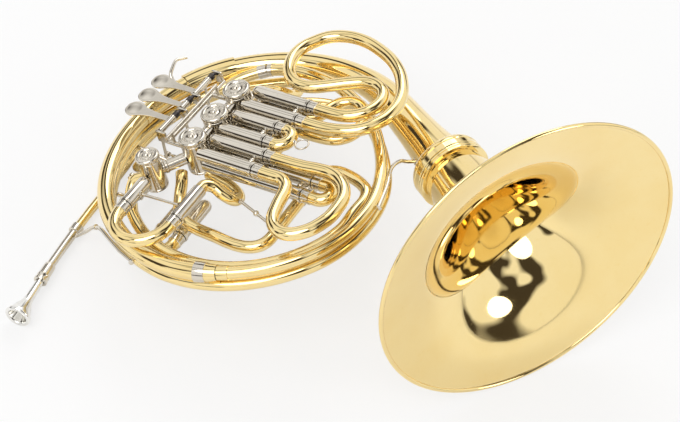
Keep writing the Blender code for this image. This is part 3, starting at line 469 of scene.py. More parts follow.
def blend(keys: Profile, place: float) -> float:
    """Smooth value between (place, value) keys in rising order.

    Args:
        keys: The keys.
        place: Where the value is read.

    Returns:
        The value.
    """
    if place <= keys[0][0]:
        return keys[0][1]
    if place >= keys[-1][0]:
        return keys[-1][1]
    index = max(i for i in range(len(keys) - 1) if keys[i][0] <= place)
    slopes = []
    for i in (index, index + 1):
        low = keys[max(i - 1, 0)]
        high = keys[min(i + 1, len(keys) - 1)]
        slopes.append((high[1] - low[1]) / (high[0] - low[0]))
    width = keys[index + 1][0] - keys[index][0]
    part = (place - keys[index][0]) / width
    rise = keys[index + 1][1] - keys[index][1]
    curve = part * part * (3.0 - 2.0 * part)
    start = part * (1.0 - part) ** 2
    end = part * part * (part - 1.0)
    return keys[index][1] + rise * curve + width * (slopes[0] * start + slopes[1] * end)


def coil_angles(first: float, last: float) -> list[float]:
    """Even angles round the coil, with both ends."""
    count = ceil((last - first) / COIL_STEP)
    return [first + (last - first) * k / count for k in range(count + 1)]


def polar(angle: float, radius: float, height: float) -> Vector:
    """A point of the coil."""
    return Vector((radius * cos(radians(angle)), radius * sin(radians(angle)), height))


def spiral(keys: list[tuple[float, float, float]], first: float, last: float) -> Route:
    """Points round the coil from keys of (angle, radius, height).

    Args:
        keys: The keys.
        first: The angle where it starts.
        last: The angle where it ends.

    Returns:
        The points.
    """
    radius_keys = [(angle, radius) for angle, radius, _ in keys]
    height_keys = [(angle, height) for angle, _, height in keys]
    return [polar(angle, blend(radius_keys, angle), blend(height_keys, angle))
            for angle in coil_angles(first, last)]


def bow_route(start: float, legs: tuple[float, float], level: float) -> Route:
    """Half-circle bow between two legs.

    Args:
        start: Where the bend starts.
        legs: The legs' offsets.
        level: Their height.

    Returns:
        The bow's points.
    """
    low, high = legs
    middle = (low + high) / 2.0
    radius = (high - low) / 2.0
    steps = 32
    turns = [pi * k / steps for k in range(steps + 1)]
    return [Vector((start + abs(radius) * sin(turn), middle - radius * cos(turn), level)) for turn in turns]


def arc(centre: tuple[float, float], radii: tuple[float, float], angles: range | tuple[int, ...]) -> Profile:
    """Part of an ellipse in a profile, with angles from the outward direction."""
    return [(centre[0] + radii[0] * sin(radians(a)), centre[1] + radii[1] * cos(radians(a))) for a in angles]


def ball(middle: float, half: float, radius: float, first: int) -> Profile:
    """The ball of a thin round brace, from one side's angle to the other's."""
    angles = [radians(a) for a in range(first, 179 - first, -15)]
    return [(middle + half * cos(a), max(THIN_BAR, radius * sin(a))) for a in angles]


def shifted(profile: Profile, start: float, rim: float = 0.0) -> Profile:
    """A profile moved along its axis, with its radii counted from a rim."""
    return [(start + along, rim + radius) for along, radius in profile]


def plan_frame(origin: Point, angle: float) -> Matrix:
    """A frame in the horn's plan, turned about its upright axis."""
    return Matrix.Translation(Vector(origin)) @ Matrix.Rotation(radians(angle), 4, "Z")


def valve_place(number: int) -> Vector:
    """Plan position of a valve; the fourth is the change valve.

    Args:
        number: The valve.

    Returns:
        The place.
    """
    turn = Matrix.Rotation(radians(ROW_ANGLE), 3, "Z")
    if number == CHANGE:
        return valve_place(1) + turn @ Vector((*CHANGE_VALVE, 0.0))
    return MIDDLE_VALVE + turn @ Vector((0.0, VALVE_PITCH * (number - 2), 0.0))


class Piece:
    """One shown piece that stands for one CAD node."""

    def __init__(self, node: str, place: Matrix | None = None) -> None:
        """Start an empty piece.

        Args:
            node: The CAD node that it replaces.
            place: The frame that its shapes are drawn in.
        """
        self.node = node
        self.place = place or Matrix.Identity(4)
        self.bm = bmesh.new()
        self.metals: list[Metal] = []

    def add(self, shape: bmesh.types.BMesh, metal: Metal) -> "Piece":
        """Join a shape to the piece.

        Args:
            shape: The shape, which is used up.
            metal: Its finish.

        Returns:
            The piece itself.
        """
        if metal not in self.metals:
            self.metals.append(metal)
        for face in shape.faces:
            face.material_index = self.metals.index(metal)
        bmesh.ops.transform(shape, matrix=LAY @ self.place, verts=shape.verts)
        mesh = bpy.data.meshes.new("part")
        shape.to_mesh(mesh)
        shape.free()
        self.bm.from_mesh(mesh)
        bpy.data.meshes.remove(mesh)
        return self

    def turn(self, profile: Profile, axis: Point, sides: int, metal: Metal = Metal.NICKEL,
             start: Point = ORIGIN, closed: bool = False) -> "Piece":
        """Add a turned shape, as turned() draws it."""
        return self.add(turned(profile, start, axis, sides, closed), metal)

    def tube(self, points: list[Point], radii: float | list[float], metal: Metal = Metal.BRASS,
             sides: int = 24) -> "Piece":
        """Add a swept round tube."""
        return self.add(tube(points, radii, sides), metal)

    def rod(self, first: Point, second: Point, radius: float, metal: Metal = Metal.NICKEL,
            sides: int = 16) -> "Piece":
        """Add a straight round bar."""
        return self.add(rod(first, second, radius, sides), metal)

    def ring(self, points: Route, index: int, radius: float, length: float) -> "Piece":
        """Put a nickel ferrule with rounded ends on a route at one of its points.

        Args:
            points: The route.
            index: Which of its points.
            radius: The ferrule's radius.
            length: The ferrule's length.

        Returns:
            The piece itself.
        """
        half = length / 2.0
        lip = radius - 0.9
        edge = half - 0.5
        profile = [(-half, lip), (-edge, radius), (edge, radius), (half, lip)]
        return self.turn(profile, directions(points)[0][index], 28, start=points[index])

    def place_piece(self, materials: dict[Metal, bpy.types.Material]) -> None:
        """Make the object, and say what it replaces and rides on.

        Args:
            materials: The material of each finish.
        """
        name = f"{self.node}_detail"
        mesh = bpy.data.meshes.new(name)
        self.bm.to_mesh(mesh)
        self.bm.free()
        for metal in self.metals:
            mesh.materials.append(materials[metal])
        mesh.shade_smooth()
        mesh.set_sharp_from_angle(angle=radians(SHARP_ANGLE))
        made = bpy.data.objects.new(name, mesh)
        bpy.context.scene.collection.objects.link(made)
        body = next(key for key, nodes in frame["record"]["behaviour"]["bodies"].items()
                    if self.node in nodes)
        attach(made, body)
        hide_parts(self.node)
        LOG.info("%s rides on %s", name, body)


@dataclass
class BellSection:
    """The detachable flare, its screw ring, the tail and the bell branch."""

    radius: float = 155.0
    length: float = 147.0
    wall: float = 1.2
    power: float = 0.85
    bead: float = 2.2
    throat: float = 29.0
    collar: float = 37.0
    collar_length: float = 15.0
    collar_gap: float = 0.4
    centre: Vector = fixed(104.0, COIL_RADIUS, -30.0)
    tilt: float = 5.4
    branch: float = 8.8
    guard_radius: float = 12.4
    guard_wall: float = 0.8

    @property
    def place(self) -> Matrix:
        """The frame of the screw joint, with the bell's axis along X."""
        return Matrix.Translation(self.centre) @ Matrix.Rotation(radians(self.tilt), 4, "Y")

    def flare_radius(self, from_rim: float) -> float:
        """Outer radius of the flare at a distance from its rim.

        Args:
            from_rim: The distance along the axis.

        Returns:
            The radius.
        """
        ratio = (self.radius / self.throat) ** (1.0 / self.power)
        shift = self.length / (ratio - 1.0)
        return self.radius * (shift / (from_rim + shift)) ** self.power

    def flare(self) -> Piece:
        """The flare with its rolled rim and grooved screw collar.

        Returns:
            The piece.
        """
        start = self.collar_length / 2.0 + self.collar_gap
        deepest = self.length - start
        steps = 48
        stations = [deepest * (k / steps) ** 1.6 for k in range(steps + 1)]
        outer = [(self.length - d, self.flare_radius(d)) for d in stations]
        inner = [(x, r - self.wall) for x, r in outer]
        bead = arc((self.length, self.radius), (self.bead, self.bead), range(-60, 181, 20))
        made = Piece("bell_flare", self.place)
        made.turn(outer[:0:-1] + bead + inner[1:], X_AXIS, 120, Metal.BRASS, closed=True)
        rim = self.collar
        end = 7.5
        collar = [(0, self.throat - 0.6), (0, rim - 0.5), (0.5, rim), (2.2, rim), (2.7, rim - 0.6),
                  (3.3, rim - 0.6), (3.8, rim), (5.6, rim), (6.2, rim - 0.7),
                  (end, self.flare_radius(deepest - end) + 1.0), (end, self.throat)]
        return made.turn(shifted(collar, start), X_AXIS, 96, Metal.BRASS, closed=True)

    def screw_ring(self) -> Piece:
        """The grooved collar that stays on the tail.

        Returns:
            The piece.
        """
        half = self.collar_length / 2.0
        bore = self.throat - self.wall
        seat = self.throat + 0.3
        rim = self.collar
        profile = [(-half, seat), (-half, rim - 3.0), (-half + 1.2, rim - 1.6), (-half + 4.0, rim - 0.2),
                   (-half + 4.6, rim), (-0.4, rim), (0.1, rim - 0.7), (0.9, rim - 0.7), (1.4, rim),
                   (half - 0.5, rim), (half, rim - 0.5), (half, bore), (half - 2.0, bore), (half - 2.0, seat)]
        return Piece("bell_screw_ring", self.place).turn(profile, X_AXIS, 96, Metal.BRASS, closed=True)

    def tail_height(self, angle: float) -> float:
        """The tail dips behind the coil towards the bell."""
        keys = [(90, -20.3), (110, -15.4), (130, -10.6), (150, -6.2), (175, -1.5), (200, 0)]
        return blend(keys, angle)

    def tail(self) -> Piece:
        """Tapered tail from the screw ring over the top to the left.

        Returns:
            The piece.
        """
        bored = 36
        axis = Vector((cos(radians(self.tilt)), 0, -sin(radians(self.tilt))))
        start = self.centre + axis * (self.collar_length / 2.0 - 2.4)
        length = (self.centre.x + 2.0) / axis.x
        straight = [length * (0.04 * k) for k in range(18)] + [length * 0.7]
        angles = coil_angles(90.0, 200.0)
        points = [start - axis * way for way in straight]
        points += [polar(angle, COIL_RADIUS, self.tail_height(angle)) for angle in angles]
        travelled = straight + [length + radians(angle - 90.0) * COIL_RADIUS for angle in angles]
        keys = [(0, self.throat), (45, 21.8), (length, 17.5), (length + 62.0, 13.8), (length + 146.0, 11.3),
                (length + 250.0, 10.2), (travelled[-1], self.branch + 0.4)]
        radii = [blend(keys, place) for place in travelled]
        forward, side = directions(points)
        outer = [station(*item) for item in zip(points, forward, side, radii)]
        inner = [station(points[i], forward[i], side[i], radii[i] - self.wall)
                 for i in reversed(range(bored))]
        return Piece("bell_tail").add(sweep(inner + outer, 40), Metal.BRASS)

    def branch_piece(self) -> Piece:
        """The lower round of the bell branch, with a brass collar at the tail.

        Returns:
            The piece.
        """
        points = spiral([(180, COIL_RADIUS, 0), (320, COIL_RADIUS, 0)], 200.15, 311.85)
        made = Piece("bell_branch").tube(points, self.branch, sides=36)
        return made.tube(points[:4], self.branch + 0.8, sides=36)

    def branch_ferrule(self) -> Piece:
        """The narrowing joint to the outer coil tube, with a nickel band.

        Returns:
            The piece.
        """
        points = spiral([(300, COIL_RADIUS, 0), (330, COIL_RADIUS, 0)], 312.0, 320.0)
        count = len(points) - 1
        radii = [self.branch + 0.9 - 2.1 * (k / count) ** 1.5 for k in range(count + 1)]
        made = Piece("branch_ferrule").tube(points, radii, sides=32)
        return made.tube(points[:3], [radius + 0.5 for radius in radii[:3]], Metal.NICKEL, 32)

    def guard(self) -> Piece:
        """Thin brass guard over the tail, where the hand lies.

        Returns:
            The piece.
        """
        points = [polar(angle, COIL_RADIUS, self.tail_height(angle)) for angle in coil_angles(162.8, 183.2)]
        stations = [station(*item, self.guard_radius) for item in zip(points, *directions(points))]
        turns = [radians(2.0 + 11.0 * k) for k in range(17)]
        shell = bmesh.new()
        edges = open_row(shell, [stations[0] @ Vector((sin(turn), cos(turn), 0)) for turn in turns])
        carry(shell, edges, stations)
        bmesh.ops.recalc_face_normals(shell, faces=shell.faces)
        bmesh.ops.solidify(shell, geom=shell.faces[:], thickness=self.guard_wall)
        return Piece("hand_guard").add(shell, Metal.BRASS)

    def brace(self) -> Piece:
        """Bent round brace from the coil to the tail.

        Returns:
            The piece.
        """
        route = smooth_route([polar(24.0, 152.3, 0.0), polar(34.0, 145.0, 0.0), polar(45.0, 138.0, -3.0),
                              (86, 112, -10), (84, 122, -18), (84, 128.6, -21.6)])
        made = Piece("bell_brace").tube(route, BRACE_RADIUS, Metal.NICKEL, 16)
        return made.ring(route, 0, 3.6, 1.4).ring(route, len(route) - 1, 4.0, 1.6)

    def build(self) -> list[Piece]:
        """Every piece of the bell."""
        return [self.flare(), self.screw_ring(), self.tail(), self.branch_piece(), self.branch_ferrule(),
                self.guard(), self.brace()]


@dataclass
class CoilSection:
    """The coiled tubes, the leadpipe, its receiver and the mouthpiece."""

    lead_end: Vector = fixed(-30.0, -221.0, -26.5)
    rim_centre: Vector = fixed(14.6, -274.3, -27.0)
    receiver_length: float = 22.0
    receiver_radius: float = 6.2
    receiver_gap: float = 0.4
    bore: float = 4.3
    throat: float = 2.0
    insert: float = 16.0
    cup: float = 22.0
    lead_level: float = -28.2
    lead_start: float = 4.4
    lead_growth: float = 1.2

    def outer(self) -> Piece:
        """Upper layer: up the right side and over the top inside the tail.

        Returns:
            The piece.
        """
        keys = [(-50, COIL_RADIUS, 0), (0, COIL_RADIUS, 0), (20, 146, 0), (40, 132, -1), (60, 121, -2),
                (80, 117.5, -2), (100, 118.5, -2), (120, 124.5, -1), (135, 130, 0), (149, 133.5, 0)]
        points = spiral(keys, -39.85, 149.0)
        made = Piece("outer_coil_tube").tube(points, TUBE_RADIUS).tube(points[:3], TUBE_RADIUS + 0.9)
        return made.tube(points[-2:], TUBE_RADIUS + 0.8, Metal.NICKEL)

    def inner(self) -> Piece:
        """Lower layer: from the left ferrule round the bottom to the third valve.

        Returns:
            The piece.
        """
        drop = -LAYER_DROP
        keys = [(149, 133.5, 0), (160, 133.5, -3), (172, 135.5, -9.5), (185, 141.5, -14.8), (200, 149, -16),
                (212, COIL_RADIUS, -16), (220, COIL_RADIUS, drop), (355, COIL_RADIUS, drop), (375, 147, drop),
                (395, 137, drop), (415, 124, drop), (430, 118.5, drop), (445, 117, drop)]
        points = spiral(keys, 149.43, 445.0)
        before = polar(437.5, blend([(430, 118.5), (445, 117)], 437.5), drop)
        curl = smooth_route([before, points[-1], (-14, 112, -15), (-36, 98, -12), (-50, 76, -6),
                             (-58, 54, -3), (-61.5, 38, -3), (-62, 30.3, -3)])
        route = points + curl[index_of(curl, points[-1]) + 1:]
        made = Piece("inner_coil_tube").tube(route, TUBE_RADIUS)
        made.tube(points[:3], TUBE_RADIUS + 1.0, Metal.NICKEL)
        return made.tube(route[-7:], TUBE_RADIUS + 0.7, Metal.NICKEL)

    def leadpipe(self) -> Piece:
        """Lowest layer: from the receiver up the left side and down to the valves.

        Returns:
            The piece.
        """
        level = self.lead_level
        keys = [(130, 140, -26), (150, 146, level), (170, 152, level), (185, 153.5, level),
                (225, 155, level)]
        around = spiral(keys, 150.0, 222.0)
        around.reverse()
        ahead = polar(214.0, 154.8, level)
        entry = smooth_route([self.lead_end, self.lead_end + Vector((-15, 19, -0.4)), (-76, -160, -27.5),
                              around[0], ahead])
        before = polar(158.0, blend([(150, 146), (170, 152)], 158.0), level)
        leave = smooth_route([before, around[-1], (-112, 90, level), (-97, 89, -26.5), (-86, 78, -20),
                              (-81, 68, -8), (-79, 56, 3), (-76, 44, 10), (-71, 33, 12), (-66, 24, 12)])
        cut = index_of(entry, around[0])
        route = entry[:cut] + around + leave[index_of(leave, around[-1]) + 1:]
        count = len(route)
        radii = [self.lead_start + self.lead_growth * min(1.0, 3.0 * index / count) for index in range(count)]
        seam = cut - 3
        made = Piece("leadpipe").tube(route[:seam + 1], radii[:seam + 1], Metal.NICKEL)
        made.tube(route[seam:], radii[seam:]).tube(route[-7:], 6.5, Metal.NICKEL)
        return made.ring(route, seam, 6.2, 9.0)

    @property
    def mouth_axis(self) -> Vector:
        """Direction from the leadpipe out to the mouthpiece rim."""
        return (self.rim_centre - self.lead_end).normalized()

    def receiver(self) -> Piece:
        """Nickel socket with its collars; the bore takes the shank.

        Returns:
            The piece.
        """
        long = self.receiver_length
        wide = self.receiver_radius
        collars = [(0, 0.2), (-0.5, 0.6), (-2.5, 0.6), (-3.2, 0), (-6, -0.1), (-6.6, 0.3), (-7.4, 0.3),
                   (-8, -0.2)]
        profile = [(1, self.bore), (long, self.bore), *shifted(collars, long, wide), (4, wide - 0.4),
                   (0.6, 5.6), (0, 5.2)]
        start = self.lead_end + self.mouth_axis * self.receiver_gap
        return Piece("mouthpiece_receiver").turn(profile, self.mouth_axis, 48, start=start)

    def mouthpiece(self) -> Piece:
        """Deep funnel cup, shank and rounded rim.

        Returns:
            The piece.
        """
        reach = (self.rim_centre - self.lead_end).length
        length = reach - self.receiver_gap - self.receiver_length
        shank = self.bore - 0.4
        neck = length - self.cup
        parts = [k / 10.0 for k in range(10, -1, -1)]
        cup = [(neck + (self.cup - 2.0) * part, self.throat + 6.8 * part ** 0.8) for part in parts]
        body = [(-self.insert, self.throat), (-self.insert, shank - 0.5), (0, shank),
                (neck - 5.0, shank + 0.5), (neck, shank + 0.8), (neck + 3.0, 5.5), (neck + 8.0, 7.8),
                (length - 8.0, 10), (length - 5.4, 11.4), (length - 4.6, 11.6), (length - 4.2, 12.4)]
        rim = arc((length - 1.9, 10.9), (1.9, 2.1), range(-30, 151, 15))
        start = self.lead_end + self.mouth_axis * (self.receiver_length + self.receiver_gap)
        return Piece("mouthpiece").turn(cup + body + rim, self.mouth_axis, 64, Metal.SILVER, start,
                                        closed=True)

    def braces(self) -> list[Piece]:
        """The leadpipe's brace and the little finger's hook.

        Returns:
            The pieces.
        """
        lead = smooth_route([(42, -156.5, -6), (20, -160.5, -7), (-20, -163, -9), (-36, -167, -14),
                             (-45, -177, -22), (-51.2, -184.6, -26.8)])
        hook = smooth_route([(-157.5, -19.3, 7), (-161.5, -19, 11), (-168, -13, 16.5), (-174, -3, 18),
                             (-175, 6, 14.5)])
        first = Piece("leadpipe_brace").tube(lead, BRACE_RADIUS, Metal.NICKEL, 16).ring(lead, 0, 3.6, 1.6)
        first.ring(lead, len(lead) // 2, 2.9, 3.0)
        taper = [2.2 - 0.6 * (k / (len(hook) - 1)) for k in range(len(hook))]
        second = Piece("finger_hook").tube(hook, taper, Metal.NICKEL, 16).ring(hook, 0, 3.8, 1.4)
        return [first, second]

    def build(self) -> list[Piece]:
        """Every piece of the coil."""
        return [self.outer(), self.inner(), self.leadpipe(), self.receiver(), self.mouthpiece(),
                *self.braces()]


@dataclass
class ValveSection:
    """Casings, caps and rotors."""

    stem: float = 3.0
    stem_gap: float = 0.3
    cap_height: float = 5.0
    cap_gap: float = 0.35
    beads: int = 14
    ribs: int = 40
    casing_levels: tuple[float, float] = (10.0, 28.0)
    change_level: float = 18.0
    pin_drop: float = 8.6

    def radius(self, number: int) -> float:
        """Outer radius of one valve's casing."""
        return CHANGE_CASING_RADIUS if number == CHANGE else CASING_RADIUS

    def piece(self, number: int, row_name: str, change_name: str, rise: float = 0.0) -> Piece:
        """An empty piece in one valve's frame, named for the row or the change valve."""
        name = change_name if number == CHANGE else f"{row_name}_{number}"
        return Piece(name, plan_frame(valve_place(number), ROW_ANGLE) @ Matrix.Translation((0, 0, rise)))

    def casing(self, number: int) -> Piece:
        """A casing with its top ring, collars and the stubs to its neighbour.

        Args:
            number: The valve.

        Returns:
            The piece.
        """
        radius = self.radius(number)
        bore = self.stem + self.stem_gap
        foot = [(0, -1), (0.6, -0.2), (2.6, 0), (3, -0.5), (3.6, -0.5), (4, -0.1)]
        top = [(-3.2, -0.1), (-2.8, 0), (-0.3, 0), (0, -0.3)]
        profile = [(16, bore), (0, bore), *shifted(foot, 0.0, radius), *shifted(top, CASING_TOP, radius)]
        made = self.piece(number, "casing", "change_casing").turn(profile, Z_AXIS, 64)
        if number in (1, 2):
            reach = VALVE_PITCH - CASING_RADIUS + 0.6
            for level in self.casing_levels:
                made.tube([(0, radius - 1.0, level), (0, reach, level)], TUBE_RADIUS, Metal.NICKEL, 28)
                made.rod((0, radius + 1.0, level), (0, radius + 3.4, level), COLLAR_RADIUS, sides=28)
        if number == CHANGE:
            goal = Vector((-CHANGE_VALVE[0], -CHANGE_VALVE[1], 0))
            rise = Vector((0, 0, self.change_level))
            along = goal.normalized()
            made.tube([along * 6.0 + rise, goal - along * 12.8 + rise], TUBE_RADIUS, Metal.NICKEL, 28)
            made.rod(along * 12.0 + rise, along * 16.0 + rise, COLLAR_RADIUS, sides=28)
        return made

    def cap(self, number: int) -> Piece:
        """Screwed cap with a milled edge, turned rings, beads and a centre point.

        Args:
            number: The valve.

        Returns:
            The piece.
        """
        radius = self.radius(number) + 0.6
        high = self.cap_height
        face = [(-1.5, -0.25), (-1.1, -0.5), (-0.4, -1), (0, -1.8), (0, -3.8), (-0.25, -4.2), (-0.9, -4.9),
                (-0.9, -6.2), (-0.65, -6.4), (-0.65, -6.7), (-0.9, -6.9)]
        point = [(-0.9, 4), (-0.5, 3.3), (1, 2.8), (1.9, 1.6), (2.2, 0.6)]
        profile = [(0, radius - 0.4), (0.3, radius - 0.25), *shifted(face, high, radius),
                   *shifted(point, high)]
        made = self.piece(number, "valve_cap", "change_cap", CASING_TOP + self.cap_gap)
        made.turn(profile, Z_AXIS, 72)
        bead = [(0, 0.75), (0.25, 0.65), (0.45, 0.35)]
        for k in range(self.beads):
            turn = 2.0 * pi * k / self.beads
            spot = Vector(((radius - 5.6) * cos(turn), (radius - 5.6) * sin(turn), high - 0.95))
            made.turn(bead, Z_AXIS, 10, start=spot)
        for k in range(self.ribs):
            rib = block((radius - 0.5, -0.5, 0.6), (radius, 0.5, high - 1.8), 0.15)
            bmesh.ops.transform(rib, matrix=Matrix.Rotation(2.0 * pi * k / self.ribs, 4, "Z"),
                                verts=rib.verts)
            made.add(rib, Metal.NICKEL)
        return made

    def rotor(self, number: int) -> Piece:
        """Rotor stem, stop arm and the pin that the link turns.

        Args:
            number: The valve.

        Returns:
            The piece.
        """
        turn = radians(STOP_ANGLE)
        reach = Vector((STOP_REACH * cos(turn), STOP_REACH * sin(turn), 0))
        made = self.piece(number, "rotor", "change_rotor")
        made.turn([(-3.4, self.stem - 0.3), (-3, self.stem), (15, self.stem)], Z_AXIS, 32)
        made.turn([(-3.6, 4.4), (-3.3, 5), (-1.3, 5), (-1, 4.6)], Z_AXIS, 40)
        made.turn([(-3.6, 2.2), (-3.3, 2.6), (-1.3, 2.6), (-1, 2.2)], Z_AXIS, 32, start=reach)
        made.turn([(-4.1, 1), (-3.8, 1.9), (-3.4, 1.9)], Z_AXIS, 24, Metal.STEEL)
        down = reach - Vector((0, 0, self.pin_drop))
        return made.rod(down, reach - Vector((0, 0, 3)), 1.1, Metal.STEEL)

    def build(self) -> list[Piece]:
        """Every piece of the four valves."""
        numbers = (1, 2, 3, CHANGE)
        return [maker(number) for maker in (self.casing, self.cap, self.rotor) for number in numbers]


@dataclass(frozen=True)
class TuningSlide:
    """Places of one tuning slide, in the frame of the main slide's angle."""

    name: str
    offsets: tuple[float, float]
    level: float
    starts: tuple[float, float]
    rounded: tuple[bool, bool]
    mouth: float
    bow: float


MAIN_SLIDE = TuningSlide("main_slide", (-13.5, -73.5), 20.0, (72.0, 83.0), (False, True), 113.0, 122.0)
REAR_SLIDE = TuningSlide("rear_slide", (-37.0, -59.0), -28.5, (52.0, 52.0), (True, True), 95.0, 108.0)


@dataclass
class SlideSection:
    """Sleeves and crooks of the eight pull-out slides."""

    leg: float = 5.8
    clearance: float = 0.45
    wall: float = 0.75
    crook: float = 6.4
    insert: float = 26.0
    f_level: float = 28.0
    bb_level: float = 12.0
    f_legs: tuple[float, float] = (-7.0, 14.0)
    bb_legs: tuple[float, float] = (-5.0, 14.0)
    valve_starts: tuple[float, float] = (12.6, 15.5)
    ring_radius: float = 6.6
    ring_wire: float = 0.85

    def sleeve(self, made: Piece, place: float, level: float, start: float, mouth: float,
               rounded: bool) -> None:
        """Add one outer sleeve with its bore, end ring and bands.

        Args:
            made: The piece that it joins.
            place: Its offset to the side.
            level: Its height.
            start: Where its closed end is.
            mouth: Where its open end is.
            rounded: Whether the closed end is a dome.
        """
        bore = self.leg + self.clearance
        outer = bore + self.wall
        ring = outer + 0.8
        end = [(-0.3, bore), (0, bore + 0.3), (0, ring - 0.4), (-0.4, ring), (-1.1, ring), (-1.5, ring - 0.4),
               (-1.9, ring), (-2.6, ring), (-3, ring - 0.5), (-3.1, outer)]
        profile = [(mouth - self.insert - 4.0, bore), *shifted(end, mouth), (start, outer)]
        if rounded:
            profile += arc((start, 0), (-outer, outer), (20, 40, 60, 75))
        made.turn(profile, X_AXIS, 40, start=(0, place, level))

    def ball_brace(self, made: Piece, legs: tuple[float, float], level: float, place: float) -> None:
        """Add a small round brace with a ball and two flanges.

        Args:
            made: The piece that it joins.
            legs: The two sleeves' offsets.
            level: Its height.
            place: How far out it stands.
        """
        low, high = sorted(legs)
        outer = self.leg + self.clearance
        middle = (low + high) / 2.0
        profile = [(low + outer, 3.2), (low + outer + 1.2, 3), (low + outer + 1.6, THIN_BAR),
                   *ball(middle, 2.6, 2.9, 165), (high - outer - 1.6, THIN_BAR), (high - outer - 1.2, 3),
                   (high - outer, 3.2)]
        made.turn(profile, Y_AXIS, 24, start=(place, 0, level))

    def bow(self, node: str, place: Matrix, route: Route, mouth: float, free: bool) -> Piece:
        """A crook: nickel legs, nickel ferrules and the bent brass tube.

        Args:
            node: Its CAD node.
            place: The frame that the slide is drawn in.
            route: The bent part's points.
            mouth: Where the sleeves end.
            free: Whether the route is a free curve and not a half circle.

        Returns:
            The piece.
        """
        ends = [Vector((mouth + 0.5, point.y, point.z)) for point in (route[0], route[-1])]
        body = [ends[0], *route, ends[1]]
        made = Piece(node, place).tube(smooth_route(body) if free else body, self.crook, sides=28)
        leg = [(12, self.leg - 1.0), (0, self.leg - 1.0), (0, self.leg - 0.2), (0.4, self.leg),
               (self.insert + 1.0, self.leg)]
        wide = self.crook + 0.75
        long = 9.4
        band = [(0, wide - 0.5), (0.4, wide), (1.8, wide), (2.2, wide - 0.35), (7.6, wide - 0.35), (8, wide),
                (8.8, wide), (long, wide - 0.8)]
        for end in ends:
            made.turn(leg, X_AXIS, 36, start=(mouth - self.insert, end.y, end.z))
            scale = min(long, abs(route[0].x - end.x) + 2.0) / long
            made.turn([(x * scale, r) for x, r in band], X_AXIS, 36, start=end)
        return made

    def pair(self, number: int, upper: bool, mouth: float, route: Route, free: bool) -> list[Piece]:
        """Sleeves and crook of one valve's slide.

        Args:
            number: The valve.
            upper: Whether it is the F slide and not the B flat one.
            mouth: Where the sleeves end.
            route: The crook's bent part.
            free: Whether the route is a free curve.

        Returns:
            The sleeves and the crook.
        """
        legs = self.f_legs if upper else self.bb_legs
        level = self.f_level if upper else self.bb_level
        name = f"{'f' if upper else 'bb'}_slide_{number}"
        place = plan_frame(valve_place(number), ROW_ANGLE)
        sleeves = Piece(f"{name}_sleeves", place)
        for y, start in zip(legs, self.valve_starts):
            self.sleeve(sleeves, y, level, start, mouth, y > 0)
        self.ball_brace(sleeves, legs, level, mouth - 10.0)
        if mouth > 100.0:
            self.ball_brace(sleeves, legs, level, mouth - 70.0)
        return [sleeves, self.bow(f"{name}_crook", place, route, mouth, free)]

    def pull_ring(self, crook: Piece, far: float) -> None:
        """Add a wire ring with its foot to the far end of the second F crook.

        Args:
            crook: The piece that it joins.
            far: Where the crook ends.
        """
        middle = sum(self.f_legs) / 2.0
        wire = arc((0, self.ring_radius), (self.ring_wire, self.ring_wire), range(0, 360, 30))
        crook.turn(wire, Z_AXIS, 48, start=(far + 9.0, middle, self.f_level), closed=True)
        foot = [(0, 2.6), (0.8, 2.4), (1.6, 1.4), (2.6, 1.2)]
        crook.turn(foot, X_AXIS, 20, start=(far, middle, self.f_level))

    def third_route(self) -> Route:
        """Large drop-shaped crook of the third F slide.

        Returns:
            The points.
        """
        low, high = self.f_legs
        plan = [(98, low), (120, -5), (140, 2), (153, 15), (160, 33), (158, 54), (147, 75), (129, 94),
                (105, 108), (70, 118), (40, 113), (23, 96), (17, 79), (21, 60), (34, 44), (50, 38), (68, 42),
                (92, 56), (113, 65), (130, 62), (140, 50), (140, 35), (132, 23), (118, 15.5), (98, high)]
        return [Vector((x, y, self.f_level)) for x, y in plan]

    def first_route(self) -> Route:
        """Crook of the first F slide, a loop bent to one side of its legs.

        Returns:
            The points.
        """
        low, high = self.f_legs
        plan = [(98, high), (123, 15), (146, 17.5), (165, 12), (179, -2), (183.5, -20), (182, -38),
                (171, -57.5), (153, -66), (136, -57.5), (127.5, -38), (122, -17), (112, -8), (98, low)]
        return [Vector((x, y, self.f_level)) for x, y in plan]

    def third_low_route(self) -> Route:
        """Smaller crook of the third slide on the lower level.

        Returns:
            The points.
        """
        low, high = self.bb_legs
        plan = [(72, low), (98, low), (117, -1), (128, 12), (128, 29), (119, 43), (104, 49), (91, 43),
                (84, 30), (78, 18), (68, high)]
        return [Vector((x, y, self.bb_level)) for x, y in plan]

    def tuning(self, slide: TuningSlide) -> list[Piece]:
        """Sleeves and bow of a tuning slide.

        Args:
            slide: The slide's places.

        Returns:
            The sleeves and the crook.
        """
        place = plan_frame(ORIGIN, MAIN_ANGLE)
        level = slide.level
        sleeves = Piece(f"{slide.name}_sleeves", place)
        for y, start, rounded in zip(slide.offsets, slide.starts, slide.rounded):
            self.sleeve(sleeves, y, level, start, slide.mouth, rounded)
        near, far = slide.offsets
        if slide is MAIN_SLIDE:
            outer = self.leg + self.clearance
            along = 96.0
            flange = [(0, 3.4), (0.9, 3.2), (1.6, 1.6)]
            sleeves.rod((along, near - outer, level), (along, far + outer, level), 1.4)
            for y, way in ((near - outer - 0.6, -1), (far + outer + 0.6, 1)):
                sleeves.turn(flange, (0, way, 0), 24, start=(along, y, level))
        else:
            self.ball_brace(sleeves, slide.offsets, level, slide.mouth - 10.0)
            sleeves.rod((84, near, level + 6.4), (84, near, -13.5), 2.0)
        route = bow_route(slide.bow, slide.offsets, level)
        return [sleeves, self.bow(f"{slide.name}_crook", place, route, slide.mouth, False)]

